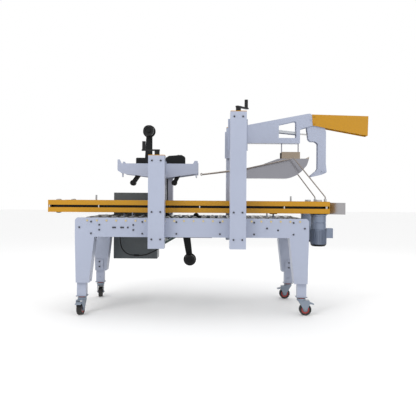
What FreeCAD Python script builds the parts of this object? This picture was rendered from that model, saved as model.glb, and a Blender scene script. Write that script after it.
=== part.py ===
import FreeCAD, Part
import math
import os

# Carton sealer with side belts, a flap folder and an upper and a lower tape head.
# Millimetres. X runs along the machine (cartons enter at +X and leave at -X), Y across it
# (the front is at -Y), Z up from the floor. The model is moved at the end so that its
# origin is the centre of its footprint on the floor.

Vector = FreeCAD.Vector
ALONG_X = Vector(1, 0, 0)
ALONG_Y = Vector(0, 1, 0)
ALONG_Z = Vector(0, 0, 1)

# ---------------------------------------------------------------- driving dimensions
# bed
BED_LEFT = -844.0
BED_LENGTH = 1476.0
BED_HALF_WIDTH = 340.0
BED_TOP = 615.0
RAIL_HEIGHT = 121.0
RAIL_WALL = 3.0
RAIL_FLANGE = 22.0
RAIL_CORNER = 14.0
ROLLER_COUNT = 23
ROLLER_RADIUS = 23.0
ROLLER_RISE = 5.0
ROLLER_FIRST = 77.0
ROLLER_LAST = 57.0
AXLE_RADIUS = 6.0
AXLE_PROUD = 3.0
# legs and casters
LEG_TOP_WIDTH = 122.0
LEG_FOOT_WIDTH = 83.0
LEG_DEPTH = 90.0
LEG_FOOT_Z = 204.0
LEG_INSET = 7.0
LEG_WALL = 3.0
LEG_FOOT_PLATE = 4.0
POST_WIDTH = 57.0
POST_DEPTH = 50.0
POST_FOOT_Z = 119.0
POST_LENGTH = 261.0
CASTER_RADIUS = 38.0
CASTER_WIDTH = 30.0
CASTER_TRAIL = 25.0
# columns
COLUMN_WIDTH = 100.0
COLUMN_DEPTH = 90.0
COLUMN_WALL = 4.0
COLUMN_SLOT = 30.0
COLUMN_DROP = 186.0
COLUMN_CAP = 4.0
TAPE_COLUMN_STATION = 519.0
TAPE_COLUMN_RISE = 392.0
FOLD_COLUMN_STATION = 1023.0
FOLD_COLUMN_RISE = 666.0
SCREW_RADIUS = 10.0
SIDE_ROD_RADIUS = 7.0
SIDE_ROD_OFFSET = 30.0
CRANK_REACH = 82.0
CRANK_GRIP_RADIUS = 11.0
CRANK_GRIP_LENGTH = 50.0
# carton that the machine is set for
CARTON_HEIGHT = 264.0
CARTON_WIDTH = 300.0
# side drives
DRIVE_LEFT_REACH = 194.0
DRIVE_RIGHT_REACH = 148.0
COVER_FLOOR = 32.0
COVER_HEIGHT = 78.0
COVER_GAP = 16.0
COVER_SHEET = 2.5
COVER_WIDTH = 110.0
BELT_THICKNESS = 5.0
BELT_HEIGHT = 58.0
PULLEY_RADIUS = 40.0
SHAFT_RADIUS = 10.0
IDLER_FROM_END = 52.0
PULLEY_FROM_END = 60.0
SUPPORT_GAPS = (3, 19)
SLIDE_ROD_RADIUS = 9.0
WIDTH_SCREW_RADIUS = 6.0
SLIDE_DEPTH = 73.0
MOTOR_RADIUS = 48.5
MOTOR_CASING_RADIUS = 53.0
MOTOR_LENGTH = 208.0
FLAP_ROD_RADIUS = 4.0
# tape heads
HEAD_HALF_WIDTH = 115.0
HEAD_PLATE = 5.0
CARTRIDGE_HALF_WIDTH = 40.0
CARTRIDGE_PLATE = 4.0
TAPE_ROLLER_RADIUS = 19.0
TAPE_CORE_RADIUS = 36.0
LOWER_STATION = 514.0
LOWER_LENGTH = 380.0
# flap folder
ARM_HALF_WIDTH = 34.0
ARM_PLATE = 4.0
SKI_HALF_WIDTH = 52.0
SKI_SHEET = 2.0
GUARD_SHEET = 2.5
KICKER_HALF_WIDTH = 26.0
KICKER_PLATE = 4.0
KICKER_PIN_RADIUS = 8.0
# control cabinet
CABINET_STATION = 126.0
CABINET_WIDTH = 329.0
CABINET_HEIGHT = 498.0
CABINET_DEPTH = 160.0
CABINET_RISE = 166.0
CABINET_SHEET = 3.0
# hanging cable
CABLE_RADIUS = 4.5
SLEEVE_RADIUS = 8.0
SLEEVE_LENGTH = 40.0
GLAND_RADIUS = 9.0
# fits
TURNING = 0.1
SLIDING = 0.1
RUNNING_GAP = 0.3
SHOE_GAP = 1.0
POST_GAP = 0.5

# ---------------------------------------------------------------- places that follow
BED_RIGHT = BED_LEFT + BED_LENGTH
BED_BOTTOM = BED_TOP - RAIL_HEIGHT
ROLLER_Z = BED_TOP + ROLLER_RISE - ROLLER_RADIUS
ROLLER_PITCH = (BED_LENGTH - ROLLER_FIRST - ROLLER_LAST) / (ROLLER_COUNT - 1)
ROLLER_END = BED_HALF_WIDTH - RAIL_FLANGE - 4.0
TAPE_X = BED_LEFT + TAPE_COLUMN_STATION
FOLD_X = BED_LEFT + FOLD_COLUMN_STATION
COLUMN_Y = BED_HALF_WIDTH + COLUMN_DEPTH / 2.0
COLUMN_FOOT = BED_TOP - COLUMN_DROP
TAPE_TOP = BED_TOP + TAPE_COLUMN_RISE
FOLD_TOP = BED_TOP + FOLD_COLUMN_RISE
HEAD_BOTTOM = BED_TOP + CARTON_HEIGHT
DRIVE_LEFT = BED_LEFT - DRIVE_LEFT_REACH
DRIVE_RIGHT = BED_RIGHT + DRIVE_RIGHT_REACH
BELT_FACE = CARTON_WIDTH / 2.0
PULLEY_Y = BELT_FACE + BELT_THICKNESS + PULLEY_RADIUS
COVER_BOTTOM = BED_TOP + COVER_FLOOR
COVER_TOP = COVER_BOTTOM + COVER_HEIGHT
COVER_OUTER = BELT_FACE + COVER_WIDTH
COVER_INNER = BELT_FACE + BELT_THICKNESS + 3.0
IDLER_X = DRIVE_LEFT + IDLER_FROM_END
PULLEY_X = DRIVE_RIGHT - PULLEY_FROM_END
BELT_Z = (COVER_BOTTOM + COVER_TOP) / 2.0
SLIDE_Z = BED_TOP - SLIDE_DEPTH
LOWER_LEFT = BED_LEFT + LOWER_STATION
LOWER_RIGHT = LOWER_LEFT + LOWER_LENGTH
LOWER_TOP = BED_TOP - 15.0
LOWER_BOTTOM = BED_TOP - 145.0
BEARER_INNER = 66.0
BEARER_OUTER = 74.0
FLAP_PIVOT_X = DRIVE_RIGHT - 12.0
FLAP_PIVOT_Y = BELT_FACE + 25.0
FLAP_REAR_X = TAPE_X + 280.0
FLAP_REAR_Y = 35.0
KICKER_X = FOLD_X + 556.0
KICKER_Z = HEAD_BOTTOM + 383.0
CABINET_LEFT = BED_LEFT + CABINET_STATION
CABINET_RIGHT = CABINET_LEFT + CABINET_WIDTH
CABINET_TOP = BED_TOP + CABINET_RISE
CABINET_BOTTOM = CABINET_TOP - CABINET_HEIGHT
CABINET_FRONT = BED_HALF_WIDTH + 5.0
CABINET_BACK = CABINET_FRONT + CABINET_DEPTH
HINGE_X = CABINET_LEFT - 6.5
BAR_LOW = BED_BOTTOM + RAIL_WALL
BAR_HIGH = BED_TOP - 80.0
TIE_LOW = COLUMN_FOOT + 3.0
TIE_HIGH = COLUMN_FOOT + 36.0
LEG_Y = BED_HALF_WIDTH - LEG_DEPTH / 2.0
POST_FROM_END = LEG_INSET + LEG_WALL + 0.7 + POST_WIDTH / 2.0
POST_CENTRES = (BED_LEFT + POST_FROM_END, BED_RIGHT - POST_FROM_END)

nodes = {}


# ---------------------------------------------------------------- shape helpers
def block(x0, x1, y0, y1, z0, z1):
    return Part.makeBox(x1 - x0, y1 - y0, z1 - z0, Vector(x0, y0, z0))


def cylinder(start, axis, length, radius):
    return Part.makeCylinder(radius, length, start, axis)


def ring(start, axis, length, outer, inner):
    return cylinder(start, axis, length, outer).cut(cylinder(start, axis, length, inner))


def mirrored(shape):
    return shape.mirror(Vector(0, 0, 0), ALONG_Y)


def on_side(side, shapes):
    """Shapes drawn at +Y, kept there for side 1 and mirrored to -Y for side -1."""
    if side > 0:
        return list(shapes)
    return [mirrored(shape) for shape in shapes]


def rounded_edges(points, radii, closed):
    """Straight runs joined by tangent arcs; a radius of 0 leaves a sharp corner."""
    count = len(points)
    arrive = []
    leave = []
    arcs = []
    for i, corner in enumerate(points):
        end_point = not closed and i in (0, count - 1)
        if end_point or radii[i] == 0:
            arrive.append(corner)
            leave.append(corner)
            arcs.append(None)
            continue
        back = (points[i - 1] - corner).normalize()
        ahead = (points[(i + 1) % count] - corner).normalize()
        half = back.getAngle(ahead) / 2.0
        setback = radii[i] / math.tan(half)
        inward = (back + ahead).normalize()
        centre = corner + inward * (radii[i] / math.sin(half))
        arrive.append(corner + back * setback)
        leave.append(corner + ahead * setback)
        arcs.append(Part.Arc(arrive[i], centre - inward * radii[i], leave[i]).toShape())
    edges = []
    for i in range(count):
        if arcs[i] is not None:
            edges.append(arcs[i])
        last = i == count - 1
        if last and not closed:
            continue
        following = arrive[(i + 1) % count]
        if (following - leave[i]).Length > 0.001:
            edges.append(Part.LineSegment(leave[i], following).toShape())
    return edges


def plate_xz(outline, y0, y1):
    """A flat plate from (x, z) or (x, z, corner radius) points, y0 to y1 thick."""
    points = [Vector(p[0], y0, p[1]) for p in outline]
    radii = [p[2] if len(p) > 2 else 0 for p in outline]
    face = Part.Face(Part.Wire(rounded_edges(points, radii, True)))
    return face.extrude(Vector(0, y1 - y0, 0))


def plate_xy(outline, z0, z1):
    points = [Vector(p[0], p[1], z0) for p in outline]
    radii = [p[2] if len(p) > 2 else 0 for p in outline]
    face = Part.Face(Part.Wire(rounded_edges(points, radii, True)))
    return face.extrude(Vector(0, 0, z1 - z0))


def link(start, end, radius, y0, y1, bore):
    """A flat link with round ends round two (x, z) centres, each with a bore."""
    length = math.hypot(end[0] - start[0], end[1] - start[1])
    angle = math.degrees(math.atan2(end[1] - start[1], end[0] - start[0]))
    bar = block(0, length, y0, y1, -radius, radius)
    for x in (0, length):
        bar = bar.fuse(cylinder(Vector(x, y0, 0), ALONG_Y, y1 - y0, radius))
    for x in (0, length):
        bar = bar.cut(cylinder(Vector(x, y0, 0), ALONG_Y, y1 - y0, bore))
    bar = bar.removeSplitter()
    bar.rotate(Vector(0, 0, 0), ALONG_Y, -angle)
    bar.translate(Vector(start[0], 0, start[1]))
    return bar


def swept_tube(points, radii, radius):
    """A round bar along straight runs joined by tangent arcs."""
    path = Part.Wire(rounded_edges(points, radii, False))
    heading = (points[1] - points[0]).normalize()
    section = Part.Wire(Part.Circle(points[0], heading, radius).toShape())
    return path.makePipeShell([section], True, False), path.Length


def cap_screw(x, y, z, axis):
    """A socket head cap screw's head, standing on a face along its axis."""
    head = cylinder(Vector(0, 0, 0), ALONG_Z, 5.0, 5.5)
    corners = [Vector(2.9 * math.cos(k * math.pi / 3), 2.9 * math.sin(k * math.pi / 3), 2.0) for k in range(6)]
    recess = Part.Face(Part.makePolygon(corners + corners[:1])).extrude(Vector(0, 0, 4.0))
    head = head.cut(recess)
    head.Placement = FreeCAD.Placement(Vector(x, y, z), FreeCAD.Rotation(ALONG_Z, axis))
    return head


def add(name, shapes):
    solids = []
    for shape in shapes:
        solids.extend(shape.Solids)
    nodes[name] = solids


# ---------------------------------------------------------------- bed
def roller_positions():
    first = BED_LEFT + ROLLER_FIRST
    return [first + i * ROLLER_PITCH for i in range(ROLLER_COUNT)]


def over_cartridge(x):
    """True where a roller would cross the lower tape head, so that it is split in two."""
    reach = ROLLER_RADIUS + 4.0
    return LOWER_LEFT - reach < x < LOWER_RIGHT + reach


def behind_column(x):
    reach = COLUMN_WIDTH / 2.0 + AXLE_RADIUS
    return abs(x - TAPE_X) < reach or abs(x - FOLD_X) < reach


def side_rail():
    inner = BED_HALF_WIDTH - RAIL_FLANGE
    web_inner = BED_HALF_WIDTH - RAIL_WALL
    rail = block(BED_LEFT, BED_RIGHT, web_inner, BED_HALF_WIDTH, BED_BOTTOM, BED_TOP)
    for z in (BED_BOTTOM, BED_TOP - RAIL_WALL):
        rail = rail.fuse(block(BED_LEFT, BED_RIGHT, inner, BED_HALF_WIDTH, z, z + RAIL_WALL))
    for end, inward in ((BED_LEFT, 1), (BED_RIGHT, -1)):
        corner = [
            (end - inward, BED_TOP + 1),
            (end + inward * RAIL_CORNER, BED_TOP + 1),
            (end + inward * RAIL_CORNER, BED_TOP),
            (end, BED_TOP - RAIL_CORNER),
            (end - inward, BED_TOP - RAIL_CORNER),
        ]
        rail = rail.cut(plate_xz(corner, inner - 1, BED_HALF_WIDTH + 1))
    for x in roller_positions():
        hole = cylinder(Vector(x, web_inner - 1, ROLLER_Z), ALONG_Y, RAIL_WALL + 2, AXLE_RADIUS + TURNING)
        rail = rail.cut(hole)
    screw_x = support_positions()[1] + 14.0
    rail = rail.cut(cylinder(Vector(screw_x, web_inner - 1, SLIDE_Z), ALONG_Y, RAIL_WALL + 2,
                             WIDTH_SCREW_RADIUS + RUNNING_GAP))
    return rail.removeSplitter()


def bed_rollers():
    rollers = []
    for x in roller_positions():
        if over_cartridge(x):
            halves = [(-ROLLER_END, -BEARER_OUTER - 2.0), (BEARER_OUTER + 2.0, ROLLER_END)]
        else:
            halves = [(-ROLLER_END, ROLLER_END)]
        for y0, y1 in halves:
            rollers.append(cylinder(Vector(x, y0, ROLLER_Z), ALONG_Y, y1 - y0, ROLLER_RADIUS))
    return rollers


def roller_axles():
    axles = []
    for x in roller_positions():
        proud = 0.0 if behind_column(x) else AXLE_PROUD
        length = BED_HALF_WIDTH + proud - ROLLER_END
        stubs = [cylinder(Vector(x, ROLLER_END, ROLLER_Z), ALONG_Y, length, AXLE_RADIUS)]
        if over_cartridge(x):
            stubs.append(cylinder(Vector(x, BEARER_OUTER, ROLLER_Z), ALONG_Y, 2.0, AXLE_RADIUS))
        for stub in stubs:
            axles.extend([stub, mirrored(stub)])
    return axles


def support_positions():
    """Middles of the gaps between rollers where the side drives' brackets pass."""
    centres = roller_positions()
    return [(centres[k] + centres[k + 1]) / 2.0 for k in SUPPORT_GAPS]


def cross_members():
    inner = BED_HALF_WIDTH - RAIL_WALL
    pieces = []
    bars = [BED_LEFT + 30.0, LOWER_LEFT - 6.0, LOWER_RIGHT, BED_RIGHT - 36.0]
    for x in bars:
        pieces.append(block(x, x + 6.0, -inner, inner, BAR_LOW, BAR_HIGH))
    cable_bar = BED_LEFT + 168.0
    pieces.append(block(cable_bar, cable_bar + 40.0, -inner, inner, BED_BOTTOM + RAIL_WALL, BED_BOTTOM + 9.0))
    split = [x for x in roller_positions() if over_cartridge(x)]
    start = min(split[0], LOWER_LEFT) - 12.0
    finish = max(split[-1] + 12.0, LOWER_RIGHT + 6.0)
    bearer = block(start, finish, BEARER_INNER, BEARER_OUTER, BAR_HIGH, BED_TOP - 3.0)
    pieces.extend([bearer, mirrored(bearer)])
    for x in (TAPE_X, FOLD_X):
        pieces.append(block(x - 20.0, x + 20.0, -BED_HALF_WIDTH, BED_HALF_WIDTH, TIE_LOW, TIE_HIGH))
    for x in support_positions():
        slide = cylinder(Vector(x - 12.0, -inner, SLIDE_Z), ALONG_Y, 2 * inner, SLIDE_ROD_RADIUS)
        pieces.append(slide)
    brace = [
        (TAPE_X + 20.0, TIE_LOW + 2.0),
        (TAPE_X + 20.0, TIE_LOW + 20.0),
        (TAPE_X + 100.0, BED_BOTTOM),
        (TAPE_X + 124.0, BED_BOTTOM),
    ]
    brace_plate = plate_xz(brace, BED_HALF_WIDTH - 14.0, BED_HALF_WIDTH - 8.0)
    pieces.extend([brace_plate, mirrored(brace_plate)])
    return pieces


def lean_outline(top_width, foot_width, inset, top, foot):
    """Outline of a left leg from its top edge down to its narrower foot, at X = 0."""
    return [(0, top), (top_width, top), (inset + foot_width, foot), (inset, foot)]


def leg_housing():
    """The left far leg; its housing is open at the top, under the rail."""
    y0 = BED_HALF_WIDTH - LEG_DEPTH
    outer = plate_xz(lean_outline(LEG_TOP_WIDTH, LEG_FOOT_WIDTH, LEG_INSET, BED_BOTTOM, LEG_FOOT_Z),
                     y0, BED_HALF_WIDTH)
    hollow = plate_xz(lean_outline(LEG_TOP_WIDTH - 2 * LEG_WALL, LEG_FOOT_WIDTH - 2 * LEG_WALL, LEG_INSET,
                                   BED_BOTTOM + 1, LEG_FOOT_Z + LEG_FOOT_PLATE),
                      y0 + LEG_WALL, BED_HALF_WIDTH - LEG_WALL)
    hollow.translate(Vector(LEG_WALL, 0, 0))
    post_x = POST_FROM_END
    passage = block(post_x - POST_WIDTH / 2 - POST_GAP, post_x + POST_WIDTH / 2 + POST_GAP,
                    LEG_Y - POST_DEPTH / 2 - POST_GAP, LEG_Y + POST_DEPTH / 2 + POST_GAP,
                    LEG_FOOT_Z - 1, LEG_FOOT_Z + LEG_FOOT_PLATE + 1)
    housing = outer.cut(hollow).cut(passage)
    clamp = block(post_x - 28.0, post_x + 28.0, y0 - 6.0, y0, LEG_FOOT_Z + 12.0, LEG_FOOT_Z + 84.0)
    return [housing, clamp]


def four_corners(shapes):
    """Copies of far-left shapes, drawn from the bed's left end at X = 0, at all four corners."""
    placed = []
    for shape in shapes:
        left = shape.copy()
        left.translate(Vector(BED_LEFT, 0, 0))
        right = shape.mirror(Vector(0, 0, 0), ALONG_X)
        right.translate(Vector(BED_RIGHT, 0, 0))
        for corner in (left, right):
            placed.extend([corner, mirrored(corner)])
    return placed


def leg_post():
    x = POST_FROM_END
    post = block(x - POST_WIDTH / 2, x + POST_WIDTH / 2, LEG_Y - POST_DEPTH / 2, LEG_Y + POST_DEPTH / 2,
                 POST_FOOT_Z, POST_FOOT_Z + POST_LENGTH)
    plate = block(x - 34.0, x + 34.0, LEG_Y - 30.0, LEG_Y + 30.0, POST_FOOT_Z - 5.0, POST_FOOT_Z)
    race = cylinder(Vector(x, LEG_Y, POST_FOOT_Z - 11.0), ALONG_Z, 6.0, 22.0)
    return [post, plate, race]


def fasteners():
    """Cap screw heads on the rails, the columns and the leg clamps."""
    middle = BED_TOP - 61.0
    screws = []
    face = BED_HALF_WIDTH
    for station in (102.0, 425.0, 640.0, 914.0, 1130.0, 1378.0):
        for z in (middle - 38.0, middle + 36.0):
            screws.append(cap_screw(BED_LEFT + station, face, z, ALONG_Y))
    for station in (154.0, 368.0):
        for z in (middle - 15.0, middle + 16.0):
            screws.append(cap_screw(BED_LEFT + station, face, z, ALONG_Y))
    for station in (28.0, 241.0, 253.0, 292.0, 304.0, 334.0, 1211.0, 1449.0):
        screws.append(cap_screw(BED_LEFT + station, face, middle, ALONG_Y))
    face = BED_HALF_WIDTH + COLUMN_DEPTH
    for column, top in ((TAPE_X, TAPE_TOP), (FOLD_X, FOLD_TOP)):
        for z in (COLUMN_FOOT + 58.0, BED_TOP + 40.0, top - 36.0):
            for x in (column - 27.0, column + 27.0):
                screws.append(cap_screw(x, face, z, ALONG_Y))
    screws.extend([mirrored(screw) for screw in screws])
    clamp_face = BED_HALF_WIDTH - LEG_DEPTH - 6.0
    clamps = [cap_screw(POST_FROM_END, clamp_face, LEG_FOOT_Z + dz, -ALONG_Y) for dz in (30.0, 66.0)]
    post_face = LEG_Y - POST_DEPTH / 2
    return screws + four_corners(clamps), [cap_screw(POST_FROM_END, post_face, POST_FOOT_Z + 34.0, -ALONG_Y)]


# ---------------------------------------------------------------- casters
def caster_parts():
    """Fork, wheel and brake pedal with the swivel axis at X = Y = 0, trailing to +X."""
    crown_top = POST_FOOT_Z - 11.0 - RUNNING_GAP
    axle_z = CASTER_RADIUS
    inner = CASTER_WIDTH / 2 + 4.0
    outer = inner + 4.0
    crown = cylinder(Vector(0, 0, crown_top - 12.0), ALONG_Z, 12.0, 28.0)
    cheek = [
        (-22.0, crown_top - 12.0),
        (50.0, crown_top - 12.0),
        (52.0, crown_top - 38.0),
        (CASTER_TRAIL + 12.0, axle_z + 4.0),
        (CASTER_TRAIL + 8.0, axle_z - 10.0),
        (CASTER_TRAIL - 8.0, axle_z - 10.0),
        (CASTER_TRAIL - 14.0, axle_z + 4.0),
    ]
    deck = block(-22.0, 50.0, -inner, inner, crown_top - 16.0, crown_top - 12.0)
    fork = deck
    for y0 in (-outer, inner):
        fork = fork.fuse(plate_xz(cheek, y0, y0 + 4.0))
    pedal_axis = Vector(44.0, 0, crown_top - 28.0)
    axle_hole = cylinder(Vector(CASTER_TRAIL, -outer - 1, axle_z), ALONG_Y, 2 * outer + 2, 5.0 + TURNING)
    pin_hole = cylinder(Vector(pedal_axis.x, -outer - 1, pedal_axis.z), ALONG_Y, 2 * outer + 2, 3.0 + TURNING)
    fork = fork.cut(axle_hole).cut(pin_hole).removeSplitter()
    axle = cylinder(Vector(CASTER_TRAIL, -outer - 4, axle_z), ALONG_Y, 2 * outer + 8, 5.0)
    pin = cylinder(Vector(pedal_axis.x, -outer - 1, pedal_axis.z), ALONG_Y, 2 * outer + 2, 3.0)
    tyre = ring(Vector(CASTER_TRAIL, -CASTER_WIDTH / 2, axle_z), ALONG_Y, CASTER_WIDTH, CASTER_RADIUS, 25.0)
    hub = ring(Vector(CASTER_TRAIL, -inner + 0.5, axle_z), ALONG_Y, 2 * inner - 1.0, 9.0, 5.0 + TURNING)
    disc = ring(Vector(CASTER_TRAIL, -CASTER_WIDTH / 2 + 2, axle_z), ALONG_Y, CASTER_WIDTH - 4, 25.0, 9.0)
    tread = [
        (pedal_axis.x - 7.0, pedal_axis.z - 4.0),
        (pedal_axis.x + 36.0, pedal_axis.z - 10.0, 2.0),
        (pedal_axis.x + 37.0, pedal_axis.z - 5.0, 2.0),
        (pedal_axis.x + 6.0, pedal_axis.z + 5.0),
        (pedal_axis.x - 7.0, pedal_axis.z + 5.0),
    ]
    pedal = plate_xz(tread, -inner + 1.0, inner - 1.0)
    bore = cylinder(Vector(pedal_axis.x, -inner, pedal_axis.z), ALONG_Y, 2 * inner, 3.0 + TURNING)
    return {
        "fork": [crown, fork, axle, pin],
        "wheel": [tyre, disc.fuse(hub).removeSplitter()],
        "pedal": [pedal.cut(bore)],
    }


# where each caster stands and which way its wheel trails, in degrees from +X
CASTERS = {
    "front_left": (POST_CENTRES[0], -LEG_Y, 262.0),
    "front_right": (POST_CENTRES[1], -LEG_Y, 0.0),
    "rear_left": (POST_CENTRES[0], LEG_Y, 98.0),
    "rear_right": (POST_CENTRES[1], LEG_Y, 180.0),
}


def add_casters():
    parts = caster_parts()
    for corner, (x, y, heading) in CASTERS.items():
        for kind, shapes in parts.items():
            placed = []
            for shape in shapes:
                copy = shape.copy()
                copy.rotate(Vector(0, 0, 0), ALONG_Z, heading)
                copy.translate(Vector(x, y, 0))
                placed.append(copy)
            add("caster_" + kind + "_" + corner, placed)


# ---------------------------------------------------------------- columns and lifting screws
def column(x, top):
    """Far column: a square tube with a slot down its inner face, and its yellow cap."""
    half = COLUMN_WIDTH / 2
    wall = COLUMN_WALL
    inner = BED_HALF_WIDTH
    outer = BED_HALF_WIDTH + COLUMN_DEPTH
    tube = block(x - half, x + half, inner, outer, COLUMN_FOOT, top - COLUMN_CAP)
    tube = tube.cut(block(x - half + wall, x + half - wall, inner + wall, outer - wall,
                          COLUMN_FOOT - 1, top))
    tube = tube.cut(block(x - COLUMN_SLOT / 2, x + COLUMN_SLOT / 2, inner - 1, inner + wall + 1,
                          COLUMN_FOOT + 50.0, top - COLUMN_CAP - 12.0))
    cap = block(x - half, x + half, inner, outer, top - COLUMN_CAP, top)
    return tube, cap


def column_pair(x, top):
    """Both columns of a gantry; the front cap has a hole for the lifting screw."""
    tube, cap = column(x, top)
    hole = cylinder(Vector(x, -COLUMN_Y, top - COLUMN_CAP - 1), ALONG_Z, COLUMN_CAP + 2,
                    SCREW_RADIUS + RUNNING_GAP)
    return [tube, mirrored(tube), cap, mirrored(cap).cut(hole)]


def guide_rods():
    """Foot bearings and guide rods inside the four columns."""
    pieces = []
    half = COLUMN_WIDTH / 2 - COLUMN_WALL
    for x, top in ((TAPE_X, TAPE_TOP), (FOLD_X, FOLD_TOP)):
        foot = block(x - half, x + half, BED_HALF_WIDTH + COLUMN_WALL, BED_HALF_WIDTH + COLUMN_DEPTH - COLUMN_WALL,
                     COLUMN_FOOT + 8.0, COLUMN_FOOT + 18.0)
        length = top - COLUMN_CAP - COLUMN_FOOT - 18.0
        side_rod = cylinder(Vector(x + SIDE_ROD_OFFSET, COLUMN_Y, COLUMN_FOOT + 18.0), ALONG_Z, length,
                            SIDE_ROD_RADIUS)
        centre_rod = cylinder(Vector(x, COLUMN_Y, COLUMN_FOOT + 18.0), ALONG_Z, length, SCREW_RADIUS)
        pieces.extend([foot, mirrored(foot), side_rod, mirrored(side_rod), centre_rod])
    return pieces


def lifting_crank(x, top, heading):
    """Lifting screw in the front column, with its crank arm and grip above the cap."""
    foot = COLUMN_FOOT + 18.0 + RUNNING_GAP
    arm_z = top + 27.0
    screw = cylinder(Vector(x, -COLUMN_Y, foot), ALONG_Z, arm_z + 8.0 - foot, SCREW_RADIUS)
    collar = ring(Vector(x, -COLUMN_Y, top + RUNNING_GAP), ALONG_Z, arm_z - top - RUNNING_GAP, 16.0, SCREW_RADIUS)
    arm = block(-17.0, CRANK_REACH + 13.0, -10.0, 10.0, 0, 9.0)
    arm = arm.cut(cylinder(Vector(0, 0, -1), ALONG_Z, 11, SCREW_RADIUS))
    grip = cylinder(Vector(CRANK_REACH, 0, 9.0), ALONG_Z, CRANK_GRIP_LENGTH, CRANK_GRIP_RADIUS)
    pieces = [arm, grip]
    for piece in pieces:
        piece.rotate(Vector(0, 0, 0), ALONG_Z, heading)
        piece.translate(Vector(x, -COLUMN_Y, arm_z))
    return [screw, collar] + pieces


def shoe_and_arm(x, z0, z1, plate_half, reach_in, bar_z0, bar_z1):
    """Far carriage: a shoe in the column, its tongue, a face plate and a bar to the head."""
    half = COLUMN_WIDTH / 2 - COLUMN_WALL - SHOE_GAP
    inner = BED_HALF_WIDTH + COLUMN_WALL + SHOE_GAP
    outer = BED_HALF_WIDTH + COLUMN_DEPTH - COLUMN_WALL - SHOE_GAP
    plate_face = BED_HALF_WIDTH - 3.0
    tongue_half = COLUMN_SLOT / 2 - 2.0
    shoe = block(x - half, x + half, inner, outer, z0 + 4.0, z1 - 4.0)
    shoe = shoe.fuse(block(x - tongue_half, x + tongue_half, plate_face, inner + 1, z0 + 4.0, z1 - 4.0))
    for dx, radius in ((0, SCREW_RADIUS), (SIDE_ROD_OFFSET, SIDE_ROD_RADIUS)):
        shoe = shoe.cut(cylinder(Vector(x + dx, COLUMN_Y, z0), ALONG_Z, z1 - z0, radius + RUNNING_GAP))
    plate = block(x - plate_half, x + plate_half, plate_face - 10.0, plate_face, z0, z1)
    bar = block(x - 12.5, x + 12.5, reach_in, plate_face - 10.0, bar_z0, bar_z1)
    return [shoe.removeSplitter(), plate, bar]


# ---------------------------------------------------------------- side drives
def drive_frame():
    """Far side drive's frame: belt backing plates, spacers, idler pin, brackets and lead-in plate."""
    plate_left = IDLER_X + PULLEY_RADIUS + 12.0
    plate_right = PULLEY_X - PULLEY_RADIUS - 12.0
    low = COVER_BOTTOM + COVER_SHEET
    high = COVER_TOP - COVER_SHEET
    near_plate = BELT_FACE + BELT_THICKNESS + 2.0
    far_plate = PULLEY_Y + PULLEY_RADIUS - 2.0
    pieces = [
        block(plate_left, plate_right, near_plate, near_plate + 6.0, low, high),
        block(plate_left, plate_right, far_plate - 6.0, far_plate, low, high),
    ]
    stations = 6
    for i in range(stations):
        x = plate_left + 12.0 + i * (plate_right - plate_left - 24.0) / (stations - 1)
        pieces.append(block(x - 12.0, x + 12.0, near_plate + 6.0, far_plate - 6.0, low + 16.0, high - 16.0))
    pieces.append(cylinder(Vector(IDLER_X, PULLEY_Y, COVER_BOTTOM - 7.0), ALONG_Z, COVER_HEIGHT + 14.0,
                           SHAFT_RADIUS))
    for z in (COVER_BOTTOM - 5.0, COVER_TOP):
        pieces.append(ring(Vector(IDLER_X, PULLEY_Y, z), ALONG_Z, 5.0, 17.0, SHAFT_RADIUS))
    post_y = COVER_OUTER - COVER_SHEET - 4.2
    from_left = (8.0, 326.0, 651.0, 978.0)
    from_right = (18.0, 293.0, 561.0)
    posts = [DRIVE_LEFT + x for x in from_left] + [DRIVE_RIGHT - x for x in from_right]
    for x in posts:
        pieces.append(cylinder(Vector(x, post_y, low), ALONG_Z, high - low, 4.0))
    for x in support_positions():
        foot = block(x - 26.0, x + 26.0, PULLEY_Y - 30.0, PULLEY_Y + 30.0, SLIDE_Z - 17.0, SLIDE_Z + 17.0)
        foot = foot.cut(cylinder(Vector(x - 12.0, 0, SLIDE_Z), ALONG_Y, BED_HALF_WIDTH,
                                 SLIDE_ROD_RADIUS + SLIDING))
        foot = foot.cut(cylinder(Vector(x + 14.0, 0, SLIDE_Z), ALONG_Y, BED_HALF_WIDTH,
                                 WIDTH_SCREW_RADIUS + RUNNING_GAP))
        pieces.append(foot)
        pieces.append(block(x - 3.0, x + 3.0, PULLEY_Y - 25.0, PULLEY_Y + 25.0, SLIDE_Z + 17.0, COVER_BOTTOM - 6.0))
        pieces.append(block(x - 22.0, x + 22.0, PULLEY_Y - 30.0, PULLEY_Y + 30.0, COVER_BOTTOM - 6.0, COVER_BOTTOM))
    mount = block(PULLEY_X - 52.0, PULLEY_X + 52.0, PULLEY_Y - 46.0, PULLEY_Y + 46.0,
                  COVER_BOTTOM - 6.0, COVER_BOTTOM)
    mount = mount.cut(cylinder(Vector(PULLEY_X, PULLEY_Y, COVER_BOTTOM - 7.0), ALONG_Z, 8.0, SHAFT_RADIUS + 4.0))
    pieces.append(mount)
    bearing = ring(Vector(PULLEY_X, PULLEY_Y, COVER_TOP), ALONG_Z, 12.0, 22.0, SHAFT_RADIUS + TURNING)
    pieces.append(bearing)
    pieces.append(ring(Vector(FLAP_PIVOT_X, FLAP_PIVOT_Y, COVER_TOP), ALONG_Z, 18.0, 10.0,
                       FLAP_ROD_RADIUS + TURNING))
    lead = [
        (DRIVE_RIGHT, COVER_INNER),
        (DRIVE_RIGHT + 8.0, COVER_INNER),
        (DRIVE_RIGHT + 114.0, COVER_INNER + 48.0),
        (DRIVE_RIGHT + 113.0, COVER_INNER + 51.0),
        (DRIVE_RIGHT + 7.0, COVER_INNER + 3.0),
        (DRIVE_RIGHT, COVER_INNER + 3.0),
    ]
    pieces.append(plate_xy(lead, COVER_BOTTOM - 6.0, COVER_TOP - 7.0))
    return pieces


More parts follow.
